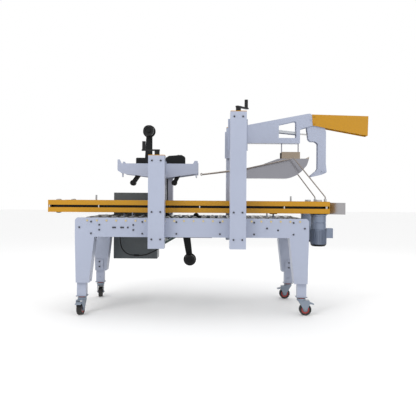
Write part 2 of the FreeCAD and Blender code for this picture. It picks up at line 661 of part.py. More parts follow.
def drive_covers():
    """Far side drive's two yellow sheet covers, with the gap between them, and its end plates."""
    skirt = (COVER_HEIGHT - COVER_GAP) / 2
    sheet = COVER_SHEET
    low = block(DRIVE_LEFT, DRIVE_RIGHT, COVER_INNER, COVER_OUTER, COVER_BOTTOM, COVER_BOTTOM + sheet)
    low = low.fuse(block(DRIVE_LEFT, DRIVE_RIGHT, COVER_OUTER - sheet, COVER_OUTER, COVER_BOTTOM,
                         COVER_BOTTOM + skirt))
    high = block(DRIVE_LEFT, DRIVE_RIGHT, COVER_INNER, COVER_OUTER, COVER_TOP - sheet, COVER_TOP)
    high = high.fuse(block(DRIVE_LEFT, DRIVE_RIGHT, COVER_OUTER - sheet, COVER_OUTER, COVER_TOP - skirt,
                           COVER_TOP))
    for x, radius in ((IDLER_X, SHAFT_RADIUS + TURNING), (PULLEY_X, SHAFT_RADIUS + 4.0)):
        hole = cylinder(Vector(x, PULLEY_Y, COVER_BOTTOM - 1), ALONG_Z, COVER_HEIGHT + 2, radius)
        low = low.cut(hole)
        high = high.cut(hole)
    ends = []
    for x in (DRIVE_LEFT, DRIVE_RIGHT - sheet):
        ends.append(block(x, x + sheet, COVER_INNER, COVER_OUTER - sheet, COVER_BOTTOM + sheet, COVER_TOP - sheet))
    return [low.removeSplitter(), high.removeSplitter()] + ends


def drive_belt():
    """Far side drive's belt, a flat loop round both pulleys."""
    def loop(radius, z0, z1):
        body = block(IDLER_X, PULLEY_X, PULLEY_Y - radius, PULLEY_Y + radius, z0, z1)
        for x in (IDLER_X, PULLEY_X):
            body = body.fuse(cylinder(Vector(x, PULLEY_Y, z0), ALONG_Z, z1 - z0, radius))
        return body.removeSplitter()
    z0 = BELT_Z - BELT_HEIGHT / 2
    z1 = BELT_Z + BELT_HEIGHT / 2
    return loop(PULLEY_RADIUS + BELT_THICKNESS, z0, z1).cut(loop(PULLEY_RADIUS, z0 - 1, z1 + 1))


def pulley(x, bore):
    height = BELT_HEIGHT - 4.0
    return ring(Vector(x, PULLEY_Y, BELT_Z - height / 2), ALONG_Z, height, PULLEY_RADIUS - RUNNING_GAP, bore)


def drive_pulley():
    """Driven pulley and its shaft, which stands on the gear motor and ends in the top bearing."""
    foot = COVER_BOTTOM - 6.0 + RUNNING_GAP
    shaft = cylinder(Vector(PULLEY_X, PULLEY_Y, foot), ALONG_Z, COVER_TOP + 10.0 - foot, SHAFT_RADIUS)
    return [pulley(PULLEY_X, SHAFT_RADIUS), shaft]


def gear_motor():
    """Gearbox, motor, end cap and terminal box, hung below the far side drive."""
    top = COVER_BOTTOM - 6.0
    foot = top - MOTOR_LENGTH
    flange = cylinder(Vector(PULLEY_X, PULLEY_Y, top - 9.0), ALONG_Z, 9.0, MOTOR_RADIUS + 4.0)
    gearbox = cylinder(Vector(PULLEY_X, PULLEY_Y, foot + 112.0), ALONG_Z, MOTOR_LENGTH - 121.0, MOTOR_RADIUS)
    casing = cylinder(Vector(PULLEY_X, PULLEY_Y, foot + 12.0), ALONG_Z, 100.0, MOTOR_CASING_RADIUS)
    cap = Part.makeCone(MOTOR_CASING_RADIUS - 11.0, MOTOR_CASING_RADIUS - 3.0, 12.0,
                        Vector(PULLEY_X, PULLEY_Y, foot), ALONG_Z)
    box_left = PULLEY_X + MOTOR_CASING_RADIUS - 3.0
    box = block(box_left, box_left + 41.0, PULLEY_Y - 22.0, PULLEY_Y + 22.0, foot + 53.0, foot + 118.0)
    box = box.cut(cylinder(Vector(PULLEY_X, PULLEY_Y, foot), ALONG_Z, MOTOR_LENGTH, MOTOR_CASING_RADIUS + 0.05))
    return [flange, gearbox, casing, cap, box]


def flap_rod():
    """Far side-flap rod: a bent round bar from its pivot on the drive in to the tape head."""
    run = FLAP_PIVOT_X - FLAP_REAR_X

    def at(x, z):
        return Vector(x, FLAP_REAR_Y + (x - FLAP_REAR_X) / run * (FLAP_PIVOT_Y - FLAP_REAR_Y), z)

    points = [
        Vector(FLAP_PIVOT_X, FLAP_PIVOT_Y, COVER_TOP + 2.0),
        Vector(FLAP_PIVOT_X, FLAP_PIVOT_Y, COVER_TOP + 30.0),
        at(FLAP_PIVOT_X - 205.0, HEAD_BOTTOM + 135.0),
        at(FLAP_REAR_X + 300.0, HEAD_BOTTOM + 66.0),
        at(FLAP_REAR_X, HEAD_BOTTOM + 28.0),
    ]
    bar, length = swept_tube(points, [0, 16.0, 16.0, 120.0, 0], FLAP_ROD_RADIUS)
    end = points[-1]
    eye = ring(Vector(end.x - 8.2, end.y - 4.0, end.z), ALONG_Y, 8.0, 8.0, 4.0)
    return [bar, eye]


def clamp_knobs():
    """Two upright clamp knobs on top of the rear side drive."""
    knobs = []
    for x in (DRIVE_LEFT + 214.0, DRIVE_RIGHT - 182.0):
        knobs.append(cylinder(Vector(x, PULLEY_Y + 14.0, COVER_TOP), ALONG_Z, 36.0, 7.0))
    return knobs


def width_crank():
    """Width screw across the bed, with its crank outside the rear rail."""
    x = support_positions()[1] + 14.0
    inner = BED_HALF_WIDTH - RAIL_WALL - RUNNING_GAP
    hub_y = BED_HALF_WIDTH + RUNNING_GAP
    arm_y = hub_y + 16.0
    screw = cylinder(Vector(x, -inner, SLIDE_Z), ALONG_Y, inner + arm_y + 8.0, WIDTH_SCREW_RADIUS)
    collar = ring(Vector(x, hub_y, SLIDE_Z), ALONG_Y, 16.0, 13.0, WIDTH_SCREW_RADIUS)
    arm = block(x - 10.0, x + 10.0, arm_y, arm_y + 9.0, SLIDE_Z - 80.0, SLIDE_Z + 14.0)
    arm = arm.cut(cylinder(Vector(x, arm_y - 1, SLIDE_Z), ALONG_Y, 11.0, WIDTH_SCREW_RADIUS))
    grip = cylinder(Vector(x, arm_y + 9.0, SLIDE_Z - 68.0), ALONG_Y, CRANK_GRIP_LENGTH, CRANK_GRIP_RADIUS)
    return [screw, collar, arm, grip]


def add_side_drives():
    for side, word in ((-1, "front"), (1, "rear")):
        frame = on_side(side, drive_frame())
        if side > 0:
            frame.extend(clamp_knobs())
        add("drive_frame_" + word, frame)
        add("drive_covers_" + word, on_side(side, drive_covers()))
        add("drive_belt_" + word, on_side(side, [drive_belt()]))
        add("drive_pulley_" + word, on_side(side, drive_pulley()))
        add("idler_pulley_" + word, on_side(side, [pulley(IDLER_X, SHAFT_RADIUS + TURNING)]))
        add("gear_motor_" + word, on_side(side, gear_motor()))
        add("flap_rod_" + word, on_side(side, flap_rod()))


# ---------------------------------------------------------------- tape heads
UPPER_PIVOTS = ((TAPE_X - 145.0, HEAD_BOTTOM + 46.0), (TAPE_X + 125.0, HEAD_BOTTOM + 46.0))
UPPER_ROLLERS = ((TAPE_X - 200.0, HEAD_BOTTOM - 34.0), (TAPE_X + 85.0, HEAD_BOTTOM - 32.0))
UPPER_RODS = ((TAPE_X - 155.0, HEAD_BOTTOM + 76.0), (TAPE_X + 135.0, HEAD_BOTTOM + 76.0))
UPPER_HUB = (TAPE_X - 95.0, HEAD_BOTTOM + 327.0)
LOWER_PIVOTS = ((LOWER_LEFT + 115.0, BED_TOP - 55.0), (LOWER_LEFT + 335.0, BED_TOP - 55.0))
LOWER_ROLLERS = ((LOWER_LEFT + 39.0, BED_TOP + 6.0), (LOWER_LEFT + 242.0, BED_TOP + 6.0))
LOWER_HUB = (LOWER_LEFT + 199.0, BED_TOP - 300.0)
TAPE_PIN_RADIUS = 6.0
SPINDLE_RADIUS = 8.0


def tape_head_frame():
    """Side plates, cross rods, carriages and end bracket of the upper tape head."""
    z = HEAD_BOTTOM
    outline = [
        (TAPE_X - 291.0, z + 46.0, 12.0),
        (TAPE_X - 262.0, z + 27.0),
        (TAPE_X - 49.0, z),
        (TAPE_X + 55.0, z),
        (TAPE_X + 230.0, z + 26.0),
        (TAPE_X + 248.0, z + 26.0),
        (TAPE_X + 248.0, z + 114.0, 4.0),
        (TAPE_X + 226.0, z + 114.0, 4.0),
        (TAPE_X + 216.0, z + 94.0),
        (TAPE_X - 264.0, z + 94.0),
        (TAPE_X - 276.0, z + 120.0, 4.0),
        (TAPE_X - 291.0, z + 120.0, 4.0),
    ]
    plate = plate_xz(outline, HEAD_HALF_WIDTH - HEAD_PLATE, HEAD_HALF_WIDTH)
    pieces = [plate, mirrored(plate)]
    inner = HEAD_HALF_WIDTH - HEAD_PLATE
    rods = list(UPPER_RODS) + [(TAPE_X - 270.0, z + 64.0), (TAPE_X + 225.0, z + 64.0)]
    for x, rod_z in rods:
        pieces.append(cylinder(Vector(x, -inner, rod_z), ALONG_Y, 2 * inner, 8.0))
    carriage = shoe_and_arm(TAPE_X, z + 6.0, z + 92.0, 55.0, HEAD_HALF_WIDTH, z + 15.0, z + 75.0)
    for side in (-1, 1):
        pieces.extend(on_side(side, carriage))
    bracket = block(TAPE_X + 233.0, TAPE_X + 239.0, -inner, inner, z + 6.0, z + 50.0)
    pieces.append(bracket)
    feeler = cylinder(Vector(TAPE_X - 257.0, -inner + 12.0, z + 2.0), ALONG_Z, 54.0, 5.0)
    holder = block(TAPE_X - 264.0, TAPE_X - 250.0, -inner, -inner + 7.0, z + 38.0, z + 56.0)
    pieces.extend([feeler, holder])
    return pieces


def cartridge_plates(outline, pins, rods):
    """Two side plates of a tape cartridge, its pivot pins and the holes for its cross rods."""
    inner = CARTRIDGE_HALF_WIDTH - CARTRIDGE_PLATE
    plate = plate_xz(outline, inner, CARTRIDGE_HALF_WIDTH)
    for x, z in rods:
        plate = plate.cut(cylinder(Vector(x, inner - 1, z), ALONG_Y, CARTRIDGE_PLATE + 2, 8.0 + TURNING))
    pieces = [plate, mirrored(plate)]
    for x, z in pins:
        pieces.append(cylinder(Vector(x, -inner, z), ALONG_Y, 2 * inner, TAPE_PIN_RADIUS))
    return pieces


def mast(foot_x, foot_z, hub, half_foot, half_top):
    """Flat tapered mast for a tape roll, on the cartridge's rear plate, with its spindle."""
    y0 = CARTRIDGE_HALF_WIDTH
    y1 = y0 + 7.0
    up = 1.0 if hub[1] > foot_z else -1.0
    outline = [
        (foot_x - half_foot, foot_z),
        (foot_x + half_foot, foot_z),
        (hub[0] + half_top, hub[1]),
        (hub[0] - half_top, hub[1]),
    ]
    if up < 0:
        outline.reverse()
    blade = plate_xz(outline, y0, y1)
    blade = blade.fuse(cylinder(Vector(hub[0], y0, hub[1]), ALONG_Y, y1 - y0, half_top)).removeSplitter()
    spindle = cylinder(Vector(hub[0], -34.0, hub[1]), ALONG_Y, 34.0 + y0, SPINDLE_RADIUS)
    nut = ring(Vector(hub[0], -33.0, hub[1]), ALONG_Y, 3.0, 14.0, SPINDLE_RADIUS)
    return [blade, spindle, nut]


def tape_hub(hub):
    core = ring(Vector(hub[0], -28.0, hub[1]), ALONG_Y, 58.0, TAPE_CORE_RADIUS, 22.0)
    web = ring(Vector(hub[0], -22.0, hub[1]), ALONG_Y, 46.0, 22.0, SPINDLE_RADIUS + TURNING)
    flange = ring(Vector(hub[0], 30.0, hub[1]), ALONG_Y, 4.0, TAPE_CORE_RADIUS + 8.0, SPINDLE_RADIUS + 4.0)
    return [core.fuse(web).fuse(flange).removeSplitter()]


def roller_arm(pivot, roller):
    """A swinging arm pair with a rubber roller on a pin between its ends."""
    y0 = CARTRIDGE_HALF_WIDTH - CARTRIDGE_PLATE - 8.0
    y1 = y0 + 5.0
    arm = link(pivot, roller, 12.0, y0, y1, TAPE_PIN_RADIUS + TURNING)
    sleeve = ring(Vector(pivot[0], -y0, pivot[1]), ALONG_Y, 2 * y0, 11.0, TAPE_PIN_RADIUS + TURNING)
    pin = cylinder(Vector(roller[0], -y1, roller[1]), ALONG_Y, 2 * y1, TAPE_PIN_RADIUS)
    tyre = ring(Vector(roller[0], -y0 + 1.0, roller[1]), ALONG_Y, 2 * y0 - 2.0, TAPE_ROLLER_RADIUS,
                TAPE_PIN_RADIUS + TURNING)
    return [arm, mirrored(arm), sleeve, pin, tyre]


def upper_cartridge():
    z = HEAD_BOTTOM
    outline = [
        (TAPE_X - 177.0, z + 34.0, 6.0),
        (TAPE_X - 155.0, z + 21.0),
        (TAPE_X + 135.0, z + 21.0),
        (TAPE_X + 158.0, z + 34.0, 6.0),
        (TAPE_X + 158.0, z + 146.0, 6.0),
        (TAPE_X + 135.0, z + 159.0, 8.0),
        (TAPE_X + 48.0, z + 152.0, 8.0),
        (TAPE_X + 26.0, z + 138.0),
        (TAPE_X - 177.0, z + 138.0, 8.0),
    ]
    pieces = cartridge_plates(outline, UPPER_PIVOTS, UPPER_RODS)
    inner = CARTRIDGE_HALF_WIDTH - CARTRIDGE_PLATE
    for x, roller_z, radius in ((TAPE_X + 55.0, z + 143.0, 10.0), (TAPE_X + 113.0, z + 149.0, 11.0),
                                (TAPE_X - 60.0, z + 108.0, 14.0)):
        pieces.append(cylinder(Vector(x, -inner, roller_z), ALONG_Y, 2 * inner, radius))
    return pieces + mast(TAPE_X - 100.0, z + 106.0, UPPER_HUB, 27.0, 20.5)


def lower_cartridge():
    outline = [
        (LOWER_LEFT, LOWER_BOTTOM + 18.0),
        (LOWER_LEFT + 30.0, LOWER_BOTTOM),
        (LOWER_RIGHT - 30.0, LOWER_BOTTOM),
        (LOWER_RIGHT, LOWER_BOTTOM + 18.0),
        (LOWER_RIGHT, LOWER_TOP),
        (LOWER_LEFT, LOWER_TOP),
    ]
    rods = ((LOWER_LEFT + 24.0, LOWER_BOTTOM + 34.0), (LOWER_RIGHT - 24.0, LOWER_BOTTOM + 34.0))
    pieces = cartridge_plates(outline, LOWER_PIVOTS, rods)
    inner = CARTRIDGE_HALF_WIDTH - CARTRIDGE_PLATE
    for x, z in rods:
        pieces.append(cylinder(Vector(x, -CARTRIDGE_HALF_WIDTH - 6.0, z), ALONG_Y,
                               2 * CARTRIDGE_HALF_WIDTH + 12.0, 8.0))
    for x, z in ((LOWER_LEFT + 190.0, LOWER_BOTTOM + 26.0), (LOWER_LEFT + 150.0, LOWER_BOTTOM + 60.0)):
        pieces.append(cylinder(Vector(x, -inner, z), ALONG_Y, 2 * inner, 10.0))
    return pieces + mast(LOWER_LEFT + 171.0, LOWER_BOTTOM + 30.0, LOWER_HUB, 27.0, 20.5)


def add_tape_heads():
    add("tape_head_frame", tape_head_frame())
    add("upper_tape_cartridge", upper_cartridge())
    add("upper_wipe_arm", roller_arm(UPPER_PIVOTS[0], UPPER_ROLLERS[0]))
    add("upper_apply_arm", roller_arm(UPPER_PIVOTS[1], UPPER_ROLLERS[1]))
    add("upper_tape_hub", tape_hub(UPPER_HUB))
    add("tape_lift_crank", lifting_crank(TAPE_X, TAPE_TOP, 180.0))
    add("lower_tape_cartridge", lower_cartridge())
    add("lower_wipe_arm", roller_arm(LOWER_PIVOTS[0], LOWER_ROLLERS[0]))
    add("lower_apply_arm", roller_arm(LOWER_PIVOTS[1], LOWER_ROLLERS[1]))
    add("lower_tape_hub", tape_hub(LOWER_HUB))


# ---------------------------------------------------------------- flap folder
ARM_FLOOR = HEAD_BOTTOM + 244.0
CYLINDER_BACK = (KICKER_X - 302.0, KICKER_Z - 51.5)
CYLINDER_FRONT = (KICKER_X - 32.0, KICKER_Z - 78.0)
CYLINDER_ANGLE = math.degrees(math.atan2(CYLINDER_FRONT[1] - CYLINDER_BACK[1],
                                         CYLINDER_FRONT[0] - CYLINDER_BACK[0]))
CYLINDER_SPAN = math.hypot(CYLINDER_FRONT[0] - CYLINDER_BACK[0], CYLINDER_FRONT[1] - CYLINDER_BACK[1])
BARREL_RADIUS = 13.0
BARREL_LENGTH = 160.0
PISTON_ROD_RADIUS = 5.0


def fold_arm():
    """The folder's arm of two plates, with its window, floor sheet, pins and carriages."""
    z = HEAD_BOTTOM
    outline = [
        (FOLD_X - 39.0, ARM_FLOOR),
        (FOLD_X + 443.0, ARM_FLOOR),
        (FOLD_X + 443.0, z + 342.0, 10.0),
        (FOLD_X + 489.0, z + 355.0, 6.0),
        (FOLD_X + 527.0, z + 366.0),
        (KICKER_X + 30.0, KICKER_Z - 18.0, 6.0),
        (KICKER_X + 30.0, KICKER_Z + 34.0, 6.0),
        (FOLD_X + 527.0, z + 432.0),
        (FOLD_X + 515.0, z + 450.0, 14.0),
        (FOLD_X + 490.0, z + 447.0, 20.0),
        (FOLD_X + 50.0, z + 362.0),
        (FOLD_X - 39.0, z + 362.0),
    ]
    window = [
        (FOLD_X + 297.0, z + 281.0),
        (FOLD_X + 418.0, z + 281.0, 4.0),
        (FOLD_X + 418.0, z + 399.0, 10.0),
        (FOLD_X + 297.0, z + 372.0, 4.0),
    ]
    inner = ARM_HALF_WIDTH - ARM_PLATE
    plate = plate_xz(outline, inner, ARM_HALF_WIDTH)
    plate = plate.cut(plate_xz(window, inner - 1, ARM_HALF_WIDTH + 1))
    pieces = [plate, mirrored(plate)]
    pieces.append(block(FOLD_X - 30.0, FOLD_X + 440.0, -inner, inner, ARM_FLOOR, ARM_FLOOR + 3.0))
    pieces.append(block(FOLD_X + 60.0, FOLD_X + 63.0, -inner, inner, ARM_FLOOR + 3.0, z + 355.0))
    pieces.append(cylinder(Vector(KICKER_X, -inner, KICKER_Z), ALONG_Y, 2 * inner, KICKER_PIN_RADIUS))
    pieces.append(cylinder(Vector(CYLINDER_BACK[0], -inner, CYLINDER_BACK[1]), ALONG_Y, 2 * inner, 5.0))
    gusset = [
        (FOLD_X + 51.0, ARM_FLOOR),
        (FOLD_X + 12.5, ARM_FLOOR),
        (FOLD_X + 12.5, ARM_FLOOR - 46.0),
        (FOLD_X + 60.0, ARM_FLOOR - 10.0, 8.0),
        (FOLD_X + 74.0, ARM_FLOOR),
    ]
    gusset_plate = plate_xz(gusset, inner - 6.0, inner)
    pieces.extend([gusset_plate, mirrored(gusset_plate)])
    carriage = shoe_and_arm(FOLD_X, z + 164.0, z + 364.0, 62.0, ARM_HALF_WIDTH, z + 262.0, z + 342.0)
    for side in (-1, 1):
        pieces.extend(on_side(side, carriage))
    screw = cap_screw(FOLD_X + 516.0, ARM_HALF_WIDTH, z + 405.0, ALONG_Y)
    pieces.extend([screw, mirrored(screw)])
    return pieces


def fold_ski():
    """Stainless trough that presses the flaps down, with its hanger and two struts."""
    z = HEAD_BOTTOM + 2.0
    left = FOLD_X + 26.0
    nose = [
        (FOLD_X + 383.0, z + 7.0, 60.0),
        (FOLD_X + 417.0, z + 22.0, 60.0),
        (FOLD_X + 451.0, z + 48.0, 60.0),
        (FOLD_X + 489.0, z + 91.0, 60.0),
        (FOLD_X + 501.0, z + 130.0, 60.0),
        (FOLD_X + 504.0, z + 150.0),
    ]
    outline = [(left, z), (FOLD_X + 355.0, z, 60.0)] + nose + [
        (FOLD_X + 491.0, z + 137.0),
        (FOLD_X + 291.0, z + 135.0, 30.0),
        (FOLD_X + 76.0, z + 54.0, 30.0),
        (left, z + 48.0),
    ]
    lift = SKI_SHEET
    trough = [(left - 1.0, z + lift), (FOLD_X + 355.0 - lift / 3, z + lift, 60.0)]
    trough += [(x - lift * 0.8, nose_z + lift * 0.8, 55.0) for x, nose_z, *rest in nose[:-1]]
    trough += [(FOLD_X + 504.0 - lift, z + 170.0), (left - 1.0, z + 170.0)]
    ski = plate_xz(outline, -SKI_HALF_WIDTH, SKI_HALF_WIDTH)
    ski = ski.cut(plate_xz(trough, -SKI_HALF_WIDTH + SKI_SHEET, SKI_HALF_WIDTH - SKI_SHEET))
    pieces = [ski]
    inner = SKI_HALF_WIDTH - SKI_SHEET
    hanger_left = FOLD_X + 316.0
    hanger_right = FOLD_X + 441.0
    cheek = block(hanger_left, hanger_right, inner - 3.0, inner, z + 98.0, z + 179.0)
    pieces.extend([cheek, mirrored(cheek)])
    pieces.append(block(hanger_left, hanger_right, -inner, inner, z + 179.0, z + 182.0))
    for x in (hanger_left + 5.0, hanger_right - 5.0):
        pieces.append(cylinder(Vector(x, 0, z + 182.0), ALONG_Z, ARM_FLOOR - z - 182.0, 4.0))
    return pieces


def tail_guard():
    """Yellow inverted channel that the kicker swings up into."""
    z = HEAD_BOTTOM
    left = FOLD_X + 524.0
    right = FOLD_X + 911.0
    outline = [(left, z + 443.0), (left + 5.0, z + 367.0), (right - 4.0, z + 299.0), (right, z + 434.0)]
    hollow = [
        (left - 1.0, z + 443.0 - GUARD_SHEET),
        (left - 1.0, z + 260.0),
        (right - 5.0 - GUARD_SHEET, z + 260.0),
        (right - GUARD_SHEET, z + 434.0 - GUARD_SHEET),
    ]
    shell = plate_xz(outline, -ARM_HALF_WIDTH - GUARD_SHEET, ARM_HALF_WIDTH + GUARD_SHEET)
    shell = shell.cut(plate_xz(hollow, -ARM_HALF_WIDTH, ARM_HALF_WIDTH))
    pieces = [shell]
    for screw_z in (z + 428.0, z + 379.0):
        screw = cap_screw(left + 14.0, ARM_HALF_WIDTH + GUARD_SHEET, screw_z, ALONG_Y)
        pieces.extend([screw, mirrored(screw)])
    return pieces


def kicker():
    """Rear-flap kicker: two hooked plates on the arm's pivot pin, with spacers."""
    x = KICKER_X
    z = KICKER_Z
    outline = [
        (x - 65.0, z - 28.0, 8.0),
        (x - 54.0, z - 110.0, 14.0),
        (x - 39.0, z - 124.5, 14.0),
        (x - 8.0, z - 124.5, 18.0),
        (x + 11.0, z - 139.0, 18.0),
        (x + 11.0, z - 312.0, 12.0),
        (x + 1.0, z - 327.0, 12.0),
        (x - 39.0, z - 360.0, 3.0),
        (x - 32.0, z - 369.0, 3.0),
        (x + 38.0, z - 353.0, 30.0),
        (x + 74.0, z - 337.0, 10.0),
        (x + 67.0, z - 274.0),
        (x + 67.0, z - 58.0, 14.0),
        (x + 55.0, z - 20.0, 16.0),
        (x + 38.0, z + 30.0, 20.0),
        (x - 30.0, z + 32.0, 20.0),
    ]
    inner = KICKER_HALF_WIDTH - KICKER_PLATE
    plate = plate_xz(outline, inner, KICKER_HALF_WIDTH)
    boss = cylinder(Vector(x, KICKER_HALF_WIDTH, z), ALONG_Y,
                    ARM_HALF_WIDTH - ARM_PLATE - RUNNING_GAP - KICKER_HALF_WIDTH, 15.0)
    plate = plate.fuse(boss)
    plate = plate.cut(cylinder(Vector(x, 0, z), ALONG_Y, ARM_HALF_WIDTH, KICKER_PIN_RADIUS + TURNING))
    plate = plate.removeSplitter()
    pieces = [plate, mirrored(plate)]
    for dx, dz, radius in ((36.0, -330.0, 8.0), (56.0, -338.0, 5.0), (40.0, -300.0, 8.0), (40.0, -170.0, 8.0)):
        pieces.append(cylinder(Vector(x + dx, -inner, z + dz), ALONG_Y, 2 * inner, radius))
    pieces.append(block(x + 61.0, x + 64.0, -inner, inner, z - 270.0, z - 70.0))
    for dx, dz in ((36.0, -330.0), (56.0, -338.0)):
        screw = cap_screw(x + dx, KICKER_HALF_WIDTH, z + dz, ALONG_Y)
        pieces.extend([screw, mirrored(screw)])
    return pieces


def lay_on_cylinder_axis(shapes):
    """Turns shapes drawn along +X from X = 0 onto the air cylinder's axis."""
    placed = []
    for shape in shapes:
        copy = shape.copy()
        copy.rotate(Vector(0, 0, 0), ALONG_Y, -CYLINDER_ANGLE)
        copy.translate(Vector(CYLINDER_BACK[0], 0, CYLINDER_BACK[1]))
        placed.append(copy)
    return placed


def air_cylinder():
    """Barrel with its rear eye and caps, and the piston rod with its fork."""
    eye = block(0, 16.0, -8.0, 8.0, -9.0, 9.0).fuse(cylinder(Vector(0, -8.0, 0), ALONG_Y, 16.0, 9.0))
    eye = eye.cut(cylinder(Vector(0, -9.0, 0), ALONG_Y, 18.0, 5.0 + TURNING)).removeSplitter()
    barrel = cylinder(Vector(16.0, 0, 0), ALONG_X, BARREL_LENGTH, BARREL_RADIUS)
    bore_end = 16.0 + BARREL_LENGTH
    barrel = barrel.cut(cylinder(Vector(22.0, 0, 0), ALONG_X, BARREL_LENGTH - 12.0, BARREL_RADIUS - 2.5))
    barrel = barrel.cut(cylinder(Vector(bore_end - 8.0, 0, 0), ALONG_X, 10.0, PISTON_ROD_RADIUS + TURNING))
    piston_x = 26.0
    piston = cylinder(Vector(piston_x, 0, 0), ALONG_X, 14.0, BARREL_RADIUS - 2.5 - TURNING)
    stem = cylinder(Vector(piston_x + 14.0, 0, 0), ALONG_X, CYLINDER_SPAN - 32.0 - piston_x, PISTON_ROD_RADIUS)
    fork = block(CYLINDER_SPAN - 18.0, CYLINDER_SPAN + 9.0, -10.0, 10.0, -9.0, 9.0)
    fork = fork.cut(block(CYLINDER_SPAN - 8.0, CYLINDER_SPAN + 10.0, -5.0, 5.0, -10.0, 10.0))
    pin_half = KICKER_HALF_WIDTH - KICKER_PLATE - SHOE_GAP
    fork = fork.cut(cylinder(Vector(CYLINDER_SPAN, -11.0, 0), ALONG_Y, 22.0, 5.0))
    pin = cylinder(Vector(CYLINDER_SPAN, -pin_half, 0), ALONG_Y, 2 * pin_half, 5.0)
    return lay_on_cylinder_axis([eye, barrel]), lay_on_cylinder_axis([piston.fuse(stem).removeSplitter(), fork, pin])


def add_flap_folder():
    add("fold_arm", fold_arm())
    add("fold_ski", fold_ski())
    add("tail_guard", tail_guard())
    add("kicker", kicker())
    barrel, piston_rod = air_cylinder()
    add("kicker_cylinder", barrel)
    add("kicker_piston_rod", piston_rod)
    add("fold_lift_crank", lifting_crank(FOLD_X, FOLD_TOP, 50.0))


# ---------------------------------------------------------------- control cabinet
ESTOP = Vector(CABINET_LEFT + 250.0, CABINET_BACK + 4.0, CABINET_TOP - 70.0)
SWITCH = Vector(CABINET_LEFT + 160.0, CABINET_BACK + 4.0, CABINET_TOP - 70.0)
HINGE_HEIGHTS = (CABINET_BOTTOM + 50.0, CABINET_TOP - 110.0)


def control_cabinet():
    sheet = CABINET_SHEET
    shell = block(CABINET_LEFT, CABINET_RIGHT, CABINET_FRONT, CABINET_BACK, CABINET_BOTTOM, CABINET_TOP)
    shell = shell.cut(block(CABINET_LEFT + sheet, CABINET_RIGHT - sheet, CABINET_FRONT + sheet,
                            CABINET_BACK + 1, CABINET_BOTTOM + sheet, CABINET_TOP - sheet))
    pieces = [shell]
    for x in (CABINET_LEFT + 40.0, CABINET_RIGHT - 70.0):
        pieces.append(block(x, x + 30.0, BED_HALF_WIDTH, CABINET_FRONT, BED_BOTTOM + 20.0, BED_TOP - 30.0))
    back = CABINET_FRONT + sheet
    pieces.append(block(CABINET_LEFT + 30.0, CABINET_RIGHT - 30.0, back, back + 3.0,
                        CABINET_BOTTOM + 40.0, CABINET_TOP - 40.0))
    for dx, dz, width, height in ((50.0, 330.0, 60.0, 80.0), (125.0, 330.0, 45.0, 80.0), (185.0, 330.0, 70.0, 80.0),
                                  (60.0, 190.0, 190.0, 70.0), (70.0, 80.0, 160.0, 45.0)):
        x = CABINET_LEFT + dx
        z = CABINET_BOTTOM + dz
        pieces.append(block(x, x + width, back + 3.0, back + 52.0, z, z + height))
    for z in HINGE_HEIGHTS:
        knuckle = cylinder(Vector(HINGE_X, CABINET_BACK, z), ALONG_Z, 22.0, 6.0)
        leaf = block(HINGE_X, CABINET_LEFT, CABINET_BACK - 12.0, CABINET_BACK, z, z + 22.0)
        pin = cylinder(Vector(HINGE_X, CABINET_BACK, z + 22.0), ALONG_Z, 26.0, 3.0)
        pieces.append(knuckle.fuse(leaf).fuse(pin).removeSplitter())
    return pieces


def cabinet_door():
    face = CABINET_BACK + 1.0
    door = block(CABINET_LEFT, CABINET_RIGHT, face, face + CABINET_SHEET, CABINET_BOTTOM, CABINET_TOP)
    for z in HINGE_HEIGHTS:
        low = z + 22.0 + RUNNING_GAP
        knuckle = cylinder(Vector(HINGE_X, CABINET_BACK, low), ALONG_Z, 24.0, 6.0)
        leaf = block(HINGE_X, CABINET_LEFT + 1.0, face, face + CABINET_SHEET, low, low + 24.0)
        bore = cylinder(Vector(HINGE_X, CABINET_BACK, low - 1), ALONG_Z, 26.0, 3.0 + TURNING)
        door = door.fuse(knuckle.fuse(leaf).cut(bore))
    for place, radius in ((ESTOP, 8.0), (SWITCH, 4.0)):
        door = door.cut(cylinder(Vector(place.x, face - 1, place.z), ALONG_Y, CABINET_SHEET + 2,
                                 radius + RUNNING_GAP))
    pieces = [door.removeSplitter()]
    collar = ring(ESTOP, ALONG_Y, 5.0, 17.0, 8.0 + RUNNING_GAP)
    plate = ring(SWITCH, ALONG_Y, 2.0, 24.0, 4.0 + RUNNING_GAP)
    handle = block(CABINET_RIGHT - 30.0, CABINET_RIGHT - 14.0, CABINET_BACK + 4.0, CABINET_BACK + 22.0,
                   CABINET_TOP - 290.0, CABINET_TOP - 190.0)
    return pieces + [collar, plate, handle]


def estop_button():
    head = cylinder(Vector(ESTOP.x, ESTOP.y + 12.0, ESTOP.z), ALONG_Y, 13.0, 20.0)
    stem = cylinder(Vector(ESTOP.x, ESTOP.y - 8.0, ESTOP.z), ALONG_Y, 20.0, 8.0)
    return [head.fuse(stem).removeSplitter()]


def power_switch():
    knob = cylinder(Vector(SWITCH.x, SWITCH.y + 2.0 + RUNNING_GAP, SWITCH.z), ALONG_Y, 14.0, 15.0)
    bar = block(SWITCH.x - 4.0, SWITCH.x + 4.0, SWITCH.y + 12.0, SWITCH.y + 24.0, SWITCH.z - 15.0, SWITCH.z + 15.0)
    stem = cylinder(Vector(SWITCH.x, SWITCH.y - 10.0, SWITCH.z), ALONG_Y, 14.0, 4.0)
    return [knob.fuse(bar).fuse(stem).removeSplitter()]


# ---------------------------------------------------------------- hanging cable
# The loop leaves a gland under the bed, hangs below the rail and goes back up into a
# second gland under the column tie.
CABLE_ROUTE = [
    Vector(-656.0, 250.0, 477.0),
    Vector(-654.0, 250.0, 408.0),
    Vector(-634.0, 251.0, 352.0),
    Vector(-584.0, 252.0, 318.0),
    Vector(-478.0, 250.0, 316.0),
    Vector(-415.0, 248.0, 342.0),
    Vector(-362.0, 246.0, 371.0),
    Vector(-334.0, 245.0, 414.0),
]


